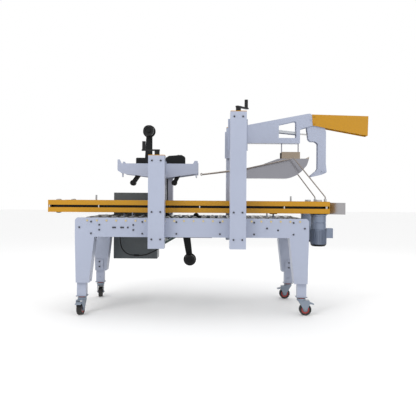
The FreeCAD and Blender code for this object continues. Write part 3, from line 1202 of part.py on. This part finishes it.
def route_radii(points):
    """Each bend is as wide as its two runs allow."""
    radii = [0.0]
    for i in range(1, len(points) - 1):
        back = points[i - 1] - points[i]
        ahead = points[i + 1] - points[i]
        turn = math.pi - back.getAngle(ahead)
        radii.append(0.45 * min(back.Length, ahead.Length) / math.tan(turn / 2.0))
    return radii + [0.0]


def hanging_cable():
    radii = route_radii(CABLE_ROUTE)
    tube, length = swept_tube(CABLE_ROUTE, radii, CABLE_RADIUS)
    print("cable bend radii", [round(r) for r in radii[1:-1]], "length", round(length, 1))
    print("cable volume over section times length", round(tube.Volume / (math.pi * CABLE_RADIUS ** 2 * length), 5))
    return [tube]


def cable_fittings():
    """A gland above each end of the cable, clear of its slanted end face, and a sleeve."""
    pieces = []
    for end, inner, top in ((CABLE_ROUTE[0], CABLE_ROUTE[1], BED_BOTTOM + RAIL_WALL),
                            (CABLE_ROUTE[-1], CABLE_ROUTE[-2], TIE_LOW)):
        slant = Vector(end - inner).getAngle(ALONG_Z)
        foot = Vector(end.x, end.y, end.z + CABLE_RADIUS * math.sin(slant) + RUNNING_GAP)
        pieces.append(cylinder(foot, ALONG_Z, top - foot.z, GLAND_RADIUS))
    run = CABLE_ROUTE[4] - CABLE_ROUTE[3]
    along = Vector(run).normalize()
    middle = CABLE_ROUTE[3] + run * 0.5
    pieces.append(ring(middle - along * (SLEEVE_LENGTH / 2), along, SLEEVE_LENGTH, SLEEVE_RADIUS,
                       CABLE_RADIUS + TURNING))
    return pieces


# ---------------------------------------------------------------- assembly
def build():
    rail = side_rail()
    add("side_rails", [mirrored(rail), rail])
    add("bed_rollers", bed_rollers())
    add("roller_axles", roller_axles())
    add("cross_members", cross_members())
    add("leg_housings", four_corners(leg_housing()))
    screws, post_screws = fasteners()
    add("frame_screws", screws)
    add("leg_posts", four_corners(leg_post() + post_screws))
    add_casters()
    add("tape_columns", column_pair(TAPE_X, TAPE_TOP))
    add("fold_columns", column_pair(FOLD_X, FOLD_TOP))
    add("guide_rods", guide_rods())
    add_side_drives()
    add("width_crank", width_crank())
    add_tape_heads()
    add_flap_folder()
    add("control_cabinet", control_cabinet())
    add("cabinet_door", cabinet_door())
    add("estop_button", estop_button())
    add("power_switch", power_switch())
    add("loop_cable", hanging_cable())
    add("cable_fittings", cable_fittings())


def footprint_centre():
    box = FreeCAD.BoundBox()
    for name, solids in nodes.items():
        if name in ("loop_cable", "cable_fittings"):
            continue
        for solid in solids:
            box.add(solid.optimalBoundingBox())
    return Vector(box.Center.x, box.Center.y, 0), box


build()
CENTRE, OUTER_BOX = footprint_centre()
os.makedirs("parts", exist_ok=True)
for node_name, node_solids in nodes.items():
    group = Part.makeCompound(node_solids)
    group.translate(-CENTRE)
    group.exportStep("parts/" + node_name + ".step")
print("nodes", len(nodes), "centre", CENTRE, "box", OUTER_BOX)
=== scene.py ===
import math

import bmesh
import bpy
from mathutils import Matrix, Vector


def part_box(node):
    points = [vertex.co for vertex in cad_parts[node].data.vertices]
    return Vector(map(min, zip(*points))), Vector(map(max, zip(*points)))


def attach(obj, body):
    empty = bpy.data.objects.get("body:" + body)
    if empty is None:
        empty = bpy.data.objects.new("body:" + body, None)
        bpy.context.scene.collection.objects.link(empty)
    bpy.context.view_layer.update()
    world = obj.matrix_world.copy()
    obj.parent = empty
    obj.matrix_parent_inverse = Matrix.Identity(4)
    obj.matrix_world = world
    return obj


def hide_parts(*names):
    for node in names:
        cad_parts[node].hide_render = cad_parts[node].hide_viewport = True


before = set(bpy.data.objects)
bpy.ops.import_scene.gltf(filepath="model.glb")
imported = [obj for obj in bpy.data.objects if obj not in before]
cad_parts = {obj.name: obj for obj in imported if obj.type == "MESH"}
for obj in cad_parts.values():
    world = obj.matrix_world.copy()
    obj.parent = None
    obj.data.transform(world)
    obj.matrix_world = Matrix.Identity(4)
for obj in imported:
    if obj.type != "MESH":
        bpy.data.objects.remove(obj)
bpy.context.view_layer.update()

# Carton sealer. Metres, in the row's frame: +X towards the infeed end, -Y the front.

# ------------------------------------------------------------------ camera and cable
CAMERA_PLACE = (-0.026, -3.8195, 0.737)
CAMERA_ROLL = 0.007
CAMERA_LENS = 47.1
SENSOR_WIDTH = 36.0
CAMERA_SHIFT = (-0.0024, -0.0216)
VIEW_DEPTH = 60.0


def add_camera():
    """Level view of the front at about half the machine's height, a little left of its middle."""
    data = bpy.data.cameras.new("camera")
    data.lens = CAMERA_LENS
    data.sensor_width = SENSOR_WIDTH
    data.shift_x, data.shift_y = CAMERA_SHIFT
    data.clip_end = VIEW_DEPTH
    camera = bpy.data.objects.new("camera", data)
    bpy.context.scene.collection.objects.link(camera)
    level = Matrix.Rotation(math.pi / 2, 4, "X")
    roll = Matrix.Rotation(CAMERA_ROLL, 4, "Z")
    camera.matrix_world = Matrix.Translation(CAMERA_PLACE) @ level @ roll
    bpy.context.scene.camera = camera


# centre of the machine's footprint, measured from the drawing's origin
FOOTPRINT = Vector((0.026, 0.0495, 0.0))
CABLE_RADIUS = 0.0045
# the cable's route in the drawing, from its first gland down round the loop to its second
CABLE_ROUTE = [
    (-0.656, 0.250, 0.477),
    (-0.654, 0.250, 0.408),
    (-0.634, 0.251, 0.352),
    (-0.584, 0.252, 0.318),
    (-0.478, 0.250, 0.316),
    (-0.415, 0.248, 0.342),
    (-0.362, 0.246, 0.371),
    (-0.334, 0.245, 0.414),
]
QUADRATIC = 3
CABLE_STEPS = 16
CABLE_ROUNDNESS = 6


def add_cable(material):
    """Hanging loop of cable, a quadratic NURBS curve along its route."""
    curve = bpy.data.curves.new("loop_cable_cover", "CURVE")
    curve.dimensions = "3D"
    curve.bevel_depth = CABLE_RADIUS
    curve.bevel_resolution = CABLE_ROUNDNESS
    curve.resolution_u = CABLE_STEPS
    curve.use_fill_caps = True
    spline = curve.splines.new("NURBS")
    spline.points.add(len(CABLE_ROUTE) - 1)
    for point, place in zip(spline.points, CABLE_ROUTE):
        point.co = (*(Vector(place) - FOOTPRINT), 1.0)
    spline.order_u = QUADRATIC
    spline.use_endpoint_u = True
    cable = bpy.data.objects.new("loop_cable_cover", curve)
    bpy.context.scene.collection.objects.link(cable)
    curve.materials.append(material)
    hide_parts("loop_cable")
    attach(cable, "frame")


# ------------------------------------------------------------------ finishes
EVEN = (1.0, 1.0, 1.0)
CLOUD_SCALE = 5.0
SMEAR_SCALE = 40.0
TINT_SCALE = 30.0
DUST_SCALE = 60.0
GRAIN_SHARE = 0.35
TINT_SHADE = 0.88
DUST_COVER = 0.22
BUMP_HEIGHT = 0.0006
SHEEN = 0.35
DULL_SHEEN = 0.2
COAT_ROUGHNESS = 0.15


class Surface:
    """A procedural finish: colour drift, grain, roughness drift and bump from noise."""

    def __init__(self, name, color, rough, metal=0.0, drift=0.12, grain=350.0, bump=0.05,
                 stretch=EVEN, coat=0.0):
        self.material = bpy.data.materials.new(name)
        self.material.use_nodes = True
        self.nodes = self.material.node_tree.nodes
        self.links = self.material.node_tree.links
        self.shader = self.nodes["Principled BSDF"]
        self.place = self.nodes.new("ShaderNodeTexCoord").outputs["Object"]
        self.split = self.nodes.new("ShaderNodeSeparateXYZ")
        self.links.new(self.place, self.split.inputs[0])
        self.shader.inputs["Coat Weight"].default_value = coat
        self.shader.inputs["Coat Roughness"].default_value = COAT_ROUGHNESS
        self.shader.inputs["Specular IOR Level"].default_value = SHEEN
        cloud = self.noise(CLOUD_SCALE, 4.0, EVEN)
        fine = self.noise(grain, 2.0, stretch)
        dark = tuple(c * (1.0 - drift) for c in color)
        light = tuple(min(1.0, c * (1.0 + drift * 0.6)) for c in color)
        blend = self.math("MULTIPLY_ADD", fine, GRAIN_SHARE)
        self.links.new(cloud, blend.node.inputs[2])
        self.color = self.mix(blend, dark, light)
        smear = self.noise(SMEAR_SCALE, 3.0, stretch)
        self.rough = self.spread(smear, rough * 0.75, min(1.0, rough * 1.3))
        self.metal = self.constant(metal)
        bumper = self.nodes.new("ShaderNodeBump")
        bumper.inputs["Strength"].default_value = bump
        bumper.inputs["Distance"].default_value = BUMP_HEIGHT
        self.links.new(fine, bumper.inputs["Height"])
        self.links.new(bumper.outputs[0], self.shader.inputs["Normal"])

    def noise(self, scale, detail, stretch):
        """Noise over the rest place; a large stretch along an axis packs it tighter there."""
        mapping = self.nodes.new("ShaderNodeMapping")
        mapping.inputs["Scale"].default_value = stretch
        texture = self.nodes.new("ShaderNodeTexNoise")
        texture.inputs["Scale"].default_value = scale
        texture.inputs["Detail"].default_value = detail
        self.links.new(self.place, mapping.inputs[0])
        self.links.new(mapping.outputs[0], texture.inputs["Vector"])
        return texture.outputs["Fac"]

    def constant(self, value):
        node = self.nodes.new("ShaderNodeValue")
        node.outputs[0].default_value = value
        return node.outputs[0]

    def math(self, operation, first, second):
        """One calculation on two sockets, or on a socket and a number."""
        node = self.nodes.new("ShaderNodeMath")
        node.operation = operation
        self.links.new(first, node.inputs[0])
        if isinstance(second, float):
            node.inputs[1].default_value = second
        else:
            self.links.new(second, node.inputs[1])
        return node.outputs[0]

    def mix(self, factor, first, second):
        """Blend of two colours, which the Mix node takes at inputs 6 and 7 and gives at output 2."""
        node = self.nodes.new("ShaderNodeMix")
        node.data_type = "RGBA"
        self.links.new(factor, node.inputs[0])
        for socket, value in ((node.inputs[6], first), (node.inputs[7], second)):
            if isinstance(value, tuple):
                socket.default_value = (*value, 1.0)
            else:
                self.links.new(value, socket)
        return node.outputs[2]

    def spread(self, factor, low, high):
        """A factor from 0 to 1 mapped onto low to high."""
        node = self.nodes.new("ShaderNodeMapRange")
        node.inputs["To Min"].default_value = low
        node.inputs["To Max"].default_value = high
        self.links.new(factor, node.inputs["Value"])
        return node.outputs[0]

    def choose(self, mask, first, value):
        """The number value where the mask is 1, and what first gives elsewhere."""
        node = self.nodes.new("ShaderNodeMix")
        self.links.new(mask, node.inputs[0])
        self.links.new(first, node.inputs[2])
        node.inputs[3].default_value = value
        return node.outputs[0]

    def region(self, color, rough, metal, **limits):
        """Another finish where the place lies within limits such as z=(low, high)."""
        mask = None
        for axis, (low, high) in limits.items():
            value = self.split.outputs["xyz".index(axis)]
            above = self.math("GREATER_THAN", value, float(low))
            inside = self.math("MULTIPLY", above, self.math("LESS_THAN", value, float(high)))
            mask = inside if mask is None else self.math("MULTIPLY", mask, inside)
        shade = tuple(c * TINT_SHADE for c in color)
        tinted = self.mix(self.noise(TINT_SCALE, 3.0, EVEN), shade, color)
        self.color = self.mix(mask, self.color, tinted)
        self.rough = self.choose(mask, self.rough, rough)
        self.metal = self.choose(mask, self.metal, metal)
        return self

    def worn_foot(self, height):
        """Dust and scuffs that thin out upwards from the floor."""
        fade = self.spread(self.split.outputs["Z"], DUST_COVER, 0.0)
        fade.node.inputs["From Max"].default_value = height
        dust = self.math("MULTIPLY", fade, self.noise(DUST_SCALE, 5.0, EVEN))
        self.color = self.mix(dust, self.color, DUST)
        return self

    def done(self):
        self.links.new(self.color, self.shader.inputs["Base Color"])
        self.links.new(self.rough, self.shader.inputs["Roughness"])
        self.links.new(self.metal, self.shader.inputs["Metallic"])
        return self.material


LAVENDER = (0.36, 0.395, 0.50)
YELLOW = (0.47, 0.225, 0.002)
BLACK = (0.006, 0.007, 0.008)
SATIN_BLACK = (0.008, 0.008, 0.009)
DRIVE_BLACK = (0.010, 0.011, 0.012)
RUBBER_BLACK = (0.012, 0.012, 0.013)
SHEATH_BLACK = (0.014, 0.014, 0.015)
SCREW_BLACK = (0.07, 0.07, 0.08)
STEEL = (0.58, 0.59, 0.60)
WARM_STEEL = (0.40, 0.39, 0.40)
# roller steel darkened with painted shade, for the shade the side drives cast over the rollers
SHADE_DARKENED_ROLLER_STEEL = (0.27, 0.28, 0.29)
GROUND_STEEL = (0.55, 0.56, 0.58)
BROWN_STEEL = (0.30, 0.27, 0.25)
SKI_STEEL = (0.29, 0.29, 0.32)
HANGER_STEEL = (0.34, 0.28, 0.22)
CHROME = (0.62, 0.62, 0.62)
PULLEY_ALLOY = (0.6, 0.6, 0.61)
BARREL_ALLOY = (0.5, 0.52, 0.55)
ZINC = (0.62, 0.50, 0.26)
SPACER_WHITE = (0.7, 0.7, 0.68)
FORK_GREY = (0.20, 0.24, 0.30)
RACE_GREY = (0.22, 0.25, 0.30)
HUB_GREY = (0.10, 0.115, 0.14)
# the cabinet's grey, darkened to the dark blue-grey of the shade under the bed: painted shade
CABINET_GREY_PAINTED_SHADE = (0.085, 0.098, 0.105)
MOTOR_GREY = (0.20, 0.235, 0.31)
# near-black green for the shade under the bed: painted shade
SHADE_GREEN_BLACK = (0.035, 0.06, 0.05)
RED = (0.45, 0.02, 0.015)
RACE_RED = (0.42, 0.04, 0.03)
DUST = (0.30, 0.28, 0.25)


def paint(name, color=LAVENDER, rough=0.42):
    return Surface(name, color, rough, drift=0.06, grain=420.0, bump=0.06, coat=0.15)


def metal_finish(name, color=STEEL, rough=0.3, stretch=EVEN, bump=0.08):
    return Surface(name, color, rough, metal=1.0, grain=220.0, bump=bump, stretch=stretch)


def plastic(name, color=BLACK, rough=0.45):
    surface = Surface(name, color, rough, drift=0.25, grain=700.0, bump=0.15)
    surface.shader.inputs["Specular IOR Level"].default_value = DULL_SHEEN
    return surface


def give(material, *names):
    """Put one material in every slot of the named CAD nodes."""
    for name in names:
        node = bpy.data.objects[name]
        slots = node.data.materials
        if not slots:
            slots.append(material)
        for i in range(len(slots)):
            slots[i] = material


# ------------------------------------------------------------------ one finish for each kind of piece
# how far a region reaches past the piece's own end
BEYOND = 0.01
COLUMN_CAP = 0.0042
# on a drive frame: the posts lie this far in from the covers' outer face, the lead-in plate
# starts past their end, bearing rings and knobs stand on their top, and feet hang under them
POST_BAND = 0.012
BAND_EDGE = 0.001
PLATE_START = 0.0001
RING_START = 0.0005
KNOB_REACH = 0.1
FOOT_START = 0.0065
# on the ski: the struts' height, and how far down from their feet the hanger is warm steel
STRUT_HEIGHT = 0.0615
HANGER_DEPTH = 0.045
HANGER_EDGE = 0.001
# on the leg posts, above the floor
RACE_BOTTOM = 0.1075
RACE_TOP = 0.1138
CASTER_PLATE_TOP = 0.1188
# distances from a wheel's middle
TYRE_INSIDE = 0.0284
HUB_RADIUS = 0.0225
# heights that dust reaches
DUST_ON_LEGS = 0.35
DUST_ON_POSTS = 0.25
DUST_ON_FORKS = 0.11
DUST_ON_WHEELS = 0.06


def column_paint(node):
    """Body paint with the yellow end cap at the very top."""
    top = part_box(node)[1][2]
    surface = paint(node + "_paint")
    surface.region(YELLOW, 0.35, 0.0, z=(top - COLUMN_CAP, top + BEYOND))
    return surface.done()


def belt_rubber():
    surface = Surface("belt_rubber", RUBBER_BLACK, 0.75, drift=0.35, grain=260.0, bump=0.5,
                      stretch=(1.0, 1.0, 3.0))
    return surface.done()


def drive_metal(node):
    """Dark drive parts, with a stainless lead-in plate, light posts and body-coloured feet."""
    low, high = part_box(node)
    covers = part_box(node.replace("frame", "covers"))
    surface = plastic(node + "_metal", DRIVE_BLACK, 0.5)
    surface.region(WARM_STEEL, 0.24, 1.0, x=(covers[1][0] + PLATE_START, high[0] + BEYOND))
    outer = (covers[0][1] - BAND_EDGE, covers[0][1] + POST_BAND)
    if node.endswith("rear"):
        outer = (covers[1][1] - POST_BAND, covers[1][1] + BAND_EDGE)
    surface.region(SPACER_WHITE, 0.4, 0.0, y=outer)
    surface.region(STEEL, 0.3, 1.0, z=(covers[1][2] + RING_START, covers[1][2] + KNOB_REACH))
    surface.region(LAVENDER, 0.42, 0.0, z=(low[2] - BEYOND, covers[0][2] - FOOT_START))
    return surface.done()


def ski_stainless():
    """Brushed along the trough; the top of the hanger above it is a warmer, duller steel."""
    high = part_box("fold_ski")[1][2]
    surface = metal_finish("ski_stainless", SKI_STEEL, 0.2, (0.6, 30.0, 30.0), 0.03)
    strut = high - STRUT_HEIGHT
    surface.region(HANGER_STEEL, 0.3, 1.0, z=(strut - HANGER_DEPTH, strut + HANGER_EDGE))
    return surface.done()


def fork_steel(node):
    return paint(node + "_steel", FORK_GREY, 0.36).worn_foot(DUST_ON_FORKS).done()


def post_paint():
    """Leg posts; the swivel race under each is red, and the caster plate on it is grey."""
    surface = paint("post_paint")
    surface.region(RACE_RED, 0.4, 0.0, z=(RACE_BOTTOM, RACE_TOP))
    surface.region(RACE_GREY, 0.4, 0.2, z=(RACE_TOP, CASTER_PLATE_TOP))
    return surface.worn_foot(DUST_ON_POSTS).done()


def wheel_material(node):
    """Black tyre, thin red ring and grey hub by distance from the wheel's middle."""
    low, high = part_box(node)
    surface = Surface(node + "_rubber", SATIN_BLACK, 0.6, drift=0.3, grain=300.0, bump=0.3)
    centre = surface.nodes.new("ShaderNodeCombineXYZ")
    for i in range(3):
        centre.inputs[i].default_value = (low[i] + high[i]) / 2
    gap = surface.nodes.new("ShaderNodeVectorMath")
    gap.operation = "DISTANCE"
    surface.links.new(surface.place, gap.inputs[0])
    surface.links.new(centre.outputs[0], gap.inputs[1])
    distance = gap.outputs["Value"]
    for radius, color, rough in ((TYRE_INSIDE, RED, 0.4), (HUB_RADIUS, HUB_GREY, 0.35)):
        mask = surface.math("LESS_THAN", distance, radius)
        surface.color = surface.mix(mask, surface.color, color)
        surface.rough = surface.choose(mask, surface.rough, rough)
    return surface.worn_foot(DUST_ON_WHEELS).done()


def dress_frame():
    """Columns, rails, legs, rollers, rods and cross members."""
    for node in ("tape_columns", "fold_columns"):
        give(column_paint(node), node)
    body = paint("body_paint").done()
    give(body, "side_rails", "tape_head_frame", "fold_arm", "kicker")
    give(paint("leg_paint").worn_foot(DUST_ON_LEGS).done(), "leg_housings")
    give(post_paint(), "leg_posts")
    # the rollers' steel is darkened by painted shade from the side drives above them
    rollers = metal_finish("roller_steel_painted_shade", SHADE_DARKENED_ROLLER_STEEL, 0.3, (60.0, 0.4, 60.0), 0.05).done()
    give(rollers, "bed_rollers")
    give(metal_finish("zinc_axle", ZINC, 0.35).done(), "roller_axles")
    give(metal_finish("screw_steel", SCREW_BLACK, 0.4).done(), "frame_screws")
    give(metal_finish("ground_rod", GROUND_STEEL, 0.18, (1.0, 1.0, 0.1)).done(), "guide_rods")
    # cross members painted near-black green as painted shade under the bed
    give(paint("green_black_painted_shade", SHADE_GREEN_BLACK, 0.5).done(), "cross_members")


def dress_drives():
    """Yellow guards, and each side drive's frame, belt, pulleys and flap rod."""
    guard = paint("guard_yellow", YELLOW, 0.33).done()
    give(guard, "drive_covers_front", "drive_covers_rear", "tail_guard")
    for side in ("front", "rear"):
        give(drive_metal("drive_frame_" + side), "drive_frame_" + side)
    give(belt_rubber(), "drive_belt_front", "drive_belt_rear")
    pulleys = metal_finish("pulley_alloy", PULLEY_ALLOY, 0.35).done()
    give(pulleys, "drive_pulley_front", "drive_pulley_rear", "idler_pulley_front", "idler_pulley_rear")
    rods = metal_finish("flap_rod_steel", BROWN_STEEL, 0.28).done()
    give(rods, "flap_rod_front", "flap_rod_rear")


def dress_heads():
    """The folding and taping heads, with the cranks and small black parts."""
    give(metal_finish("piston_chrome", CHROME, 0.12).done(), "kicker_piston_rod")
    give(ski_stainless(), "fold_ski")
    barrel = metal_finish("barrel_alloy", BARREL_ALLOY, 0.3, (0.5, 20.0, 20.0)).done()
    give(barrel, "kicker_cylinder")
    cast = plastic("black_casting", BLACK, 0.5).done()
    give(cast, "upper_tape_cartridge", "lower_tape_cartridge", "width_crank")
    grip = plastic("black_grip", RUBBER_BLACK, 0.38).done()
    give(grip, "tape_lift_crank", "fold_lift_crank", "power_switch", "cable_fittings")
    give(plastic("hub_plastic", RUBBER_BLACK, 0.4).done(), "upper_tape_hub", "lower_tape_hub")
    arm = plastic("arm_black", SATIN_BLACK, 0.42).done()
    give(arm, "upper_wipe_arm", "upper_apply_arm", "lower_wipe_arm", "lower_apply_arm")


def dress_cabinet():
    # cabinet and door in grey darkened by painted shade
    give(paint("cabinet_paint", CABINET_GREY_PAINTED_SHADE, 0.45).done(), "control_cabinet", "cabinet_door")
    button = Surface("red_plastic", RED, 0.3, drift=0.1, grain=300.0, bump=0.03, coat=0.4).done()
    give(button, "estop_button")


def dress_casters():
    for corner in ("front_left", "front_right", "rear_left", "rear_right"):
        give(fork_steel("caster_fork_" + corner), "caster_fork_" + corner)
        give(fork_steel("caster_pedal_" + corner), "caster_pedal_" + corner)
        give(wheel_material("caster_wheel_" + corner), "caster_wheel_" + corner)


# ------------------------------------------------------------------ gear motors
LATHE_STEPS = 64
# the motor's axis from its lowest X, radii, and heights above the fan cap's underside
MOTOR_AXIS = 0.053
BARREL_BOTTOM = 0.0125
BARREL_TOP = 0.110
SHOULDER_BOTTOM = 0.114
BARREL_RADIUS = 0.0455
SHOULDER_RADIUS = 0.0485
FLANGE_RADIUS = 0.0525
FLANGE_THICKNESS = 0.009
FLANGE_CHAMFER = 0.012
FIN_COUNT = 28
FIN_HALF_THICKNESS = 0.0012
RIB_COUNT = 4
RIB_HALF_THICKNESS = 0.006
TERMINAL_BOTTOM = 0.054
TERMINAL_TOP = 0.118
TERMINAL_HALF_WIDTH = 0.0215
LID_HALF_WIDTH = 0.0220
BEVEL_LIMIT = math.radians(40)


def lathe(mesh, profile, centre):
    """Closed body of revolution about Z from (radius, height) points, bottom first."""
    rings = []
    for radius, height in profile:
        ring = []
        for k in range(LATHE_STEPS):
            angle = 2 * math.pi * k / LATHE_STEPS
            ring.append(mesh.verts.new((centre[0] + radius * math.cos(angle),
                                        centre[1] + radius * math.sin(angle), height)))
        rings.append(ring)
    for low, high in zip(rings, rings[1:]):
        for k in range(LATHE_STEPS):
            following = (k + 1) % LATHE_STEPS
            mesh.faces.new((low[k], low[following], high[following], high[k]))
    mesh.faces.new(list(reversed(rings[0])))
    mesh.faces.new(rings[-1])


def slab(mesh, low, high, turn=None):
    """Box from low to high, turned by a matrix when one is given."""
    made = bmesh.ops.create_cube(mesh, size=1.0)["verts"]
    for vert in made:
        for i in range(3):
            vert.co[i] = low[i] if vert.co[i] < 0 else high[i]
        if turn is not None:
            vert.co = turn @ vert.co


def finish_piece(mesh, name, material, body, bevel):
    """Turn the built mesh into a piece with softened edges that rides on its body."""
    data = bpy.data.meshes.new(name)
    mesh.to_mesh(data)
    mesh.free()
    piece = bpy.data.objects.new(name, data)
    bpy.context.scene.collection.objects.link(piece)
    data.materials.append(material)
    edge = piece.modifiers.new("edges", "BEVEL")
    edge.width = bevel
    edge.segments = 2
    edge.angle_limit = BEVEL_LIMIT
    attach(piece, body)
    return piece


def around(centre, angle):
    """Turn by an angle about the motor's upright axis."""
    return Matrix.Translation((*centre, 0)) @ Matrix.Rotation(angle, 4, "Z")


def motor_casting(centre, foot, top, end):
    """Finned barrel with its grooved shoulder, gearbox flange, ribs and terminal box."""
    mesh = bmesh.new()
    profile = [
        (0.040, foot + BARREL_BOTTOM), (BARREL_RADIUS, foot + BARREL_BOTTOM),
        (0.0465, foot + BARREL_TOP), (SHOULDER_RADIUS, foot + SHOULDER_BOTTOM),
        (SHOULDER_RADIUS, foot + 0.150), (BARREL_RADIUS, foot + 0.152),
        (BARREL_RADIUS, foot + 0.156), (SHOULDER_RADIUS, foot + 0.158),
        (SHOULDER_RADIUS, top - FLANGE_CHAMFER),
        (FLANGE_RADIUS, top - FLANGE_THICKNESS), (FLANGE_RADIUS, top),
    ]
    lathe(mesh, profile, centre)
    for k in range(FIN_COUNT):
        slab(mesh, (0.044, -FIN_HALF_THICKNESS, foot + 0.016), (0.0528, FIN_HALF_THICKNESS, foot + 0.108),
             around(centre, 2 * math.pi * k / FIN_COUNT))
    for k in range(RIB_COUNT):
        slab(mesh, (0.043, -RIB_HALF_THICKNESS, foot + 0.112),
             (FLANGE_RADIUS, RIB_HALF_THICKNESS, top - FLANGE_THICKNESS),
             around(centre, math.pi * (k + 0.5) / 2))
    slab(mesh, (centre[0] + 0.048, centre[1] - TERMINAL_HALF_WIDTH, foot + TERMINAL_BOTTOM),
         (end - 0.006, centre[1] + TERMINAL_HALF_WIDTH, foot + TERMINAL_TOP))
    slab(mesh, (end - 0.0055, centre[1] - LID_HALF_WIDTH, foot + 0.0535),
         (end, centre[1] + LID_HALF_WIDTH, foot + TERMINAL_TOP))
    return mesh


def motor_fan_cap(centre, foot):
    """Shallow dished cap under the motor."""
    mesh = bmesh.new()
    profile = [(0.036, foot), (0.042, foot + 0.001), (0.0505, foot + 0.0095), (0.0515, foot + 0.0122)]
    lathe(mesh, profile, centre)
    return mesh


def add_gear_motor(side, material, dark):
    """Finned motor under its gearbox, with the black fan cap and the terminal box."""
    node = "gear_motor_" + side
    low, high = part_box(node)
    centre = (low[0] + MOTOR_AXIS, (low[1] + high[1]) / 2)
    casting = motor_casting(centre, low[2], high[2], high[0])
    body = finish_piece(casting, node + "_casting", material, "side_drive_" + side, 0.0006)
    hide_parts(node)
    cap = motor_fan_cap(centre, low[2])
    finish_piece(cap, node + "_fan_cap", dark, "side_drive_" + side, 0.0004)


# ------------------------------------------------------------------ studio
FLOOR_REACH = 30
PALE = (0.93, 0.93, 0.93, 1.0)
WHITE = (1.0, 1.0, 1.0, 1.0)
AIM = Vector((0, 0, 0.7))
# each soft light's name, place, width and power in watts
LIGHTS = (
    ("key", (-2.2, -3.4, 3.4), 1.6, 55.0),
    ("fill", (2.8, -3.0, 2.2), 1.6, 12.0),
    ("rear", (0.5, 3.2, 3.0), 2.0, 20.0),
)


def add_floor():
    ground = bpy.data.meshes.new("ground")
    corners = [(-FLOOR_REACH, -FLOOR_REACH, 0), (FLOOR_REACH, -FLOOR_REACH, 0),
               (FLOOR_REACH, FLOOR_REACH, 0), (-FLOOR_REACH, FLOOR_REACH, 0)]
    ground.from_pydata(corners, [], [(0, 1, 2, 3)])
    floor = bpy.data.objects.new("ground", ground)
    bpy.context.scene.collection.objects.link(floor)
    surface = bpy.data.materials.new("ground")
    surface.use_nodes = True
    shader = surface.node_tree.nodes["Principled BSDF"]
    shader.inputs["Base Color"].default_value = PALE
    shader.inputs["Roughness"].default_value = 0.9
    ground.materials.append(surface)


def add_world():
    world = bpy.data.worlds.new("studio")
    world.use_nodes = True
    background = world.node_tree.nodes["Background"]
    background.inputs["Color"].default_value = WHITE
    background.inputs["Strength"].default_value = 1.0
    bpy.context.scene.world = world
    bpy.context.scene.view_settings.view_transform = "Standard"


def add_lights():
    for name, place, size, power in LIGHTS:
        data = bpy.data.lights.new(name, "AREA")
        data.size = size
        data.energy = power
        light = bpy.data.objects.new(name, data)
        light.location = place
        light.rotation_euler = (AIM - Vector(place)).to_track_quat("-Z", "Y").to_euler()
        bpy.context.scene.collection.objects.link(light)


add_camera()
add_cable(plastic("cable_sheath", SHEATH_BLACK, 0.5).done())
dress_frame()
dress_drives()
dress_heads()
dress_cabinet()
dress_casters()
motor = Surface("motor_casting", MOTOR_GREY, 0.42, metal=0.3, drift=0.15, grain=300.0, bump=0.25).done()
fan_cap = plastic("fan_cap", BLACK, 0.5).done()
for motor_side in ("front", "rear"):
    add_gear_motor(motor_side, motor, fan_cap)
add_floor()
add_world()
add_lights()
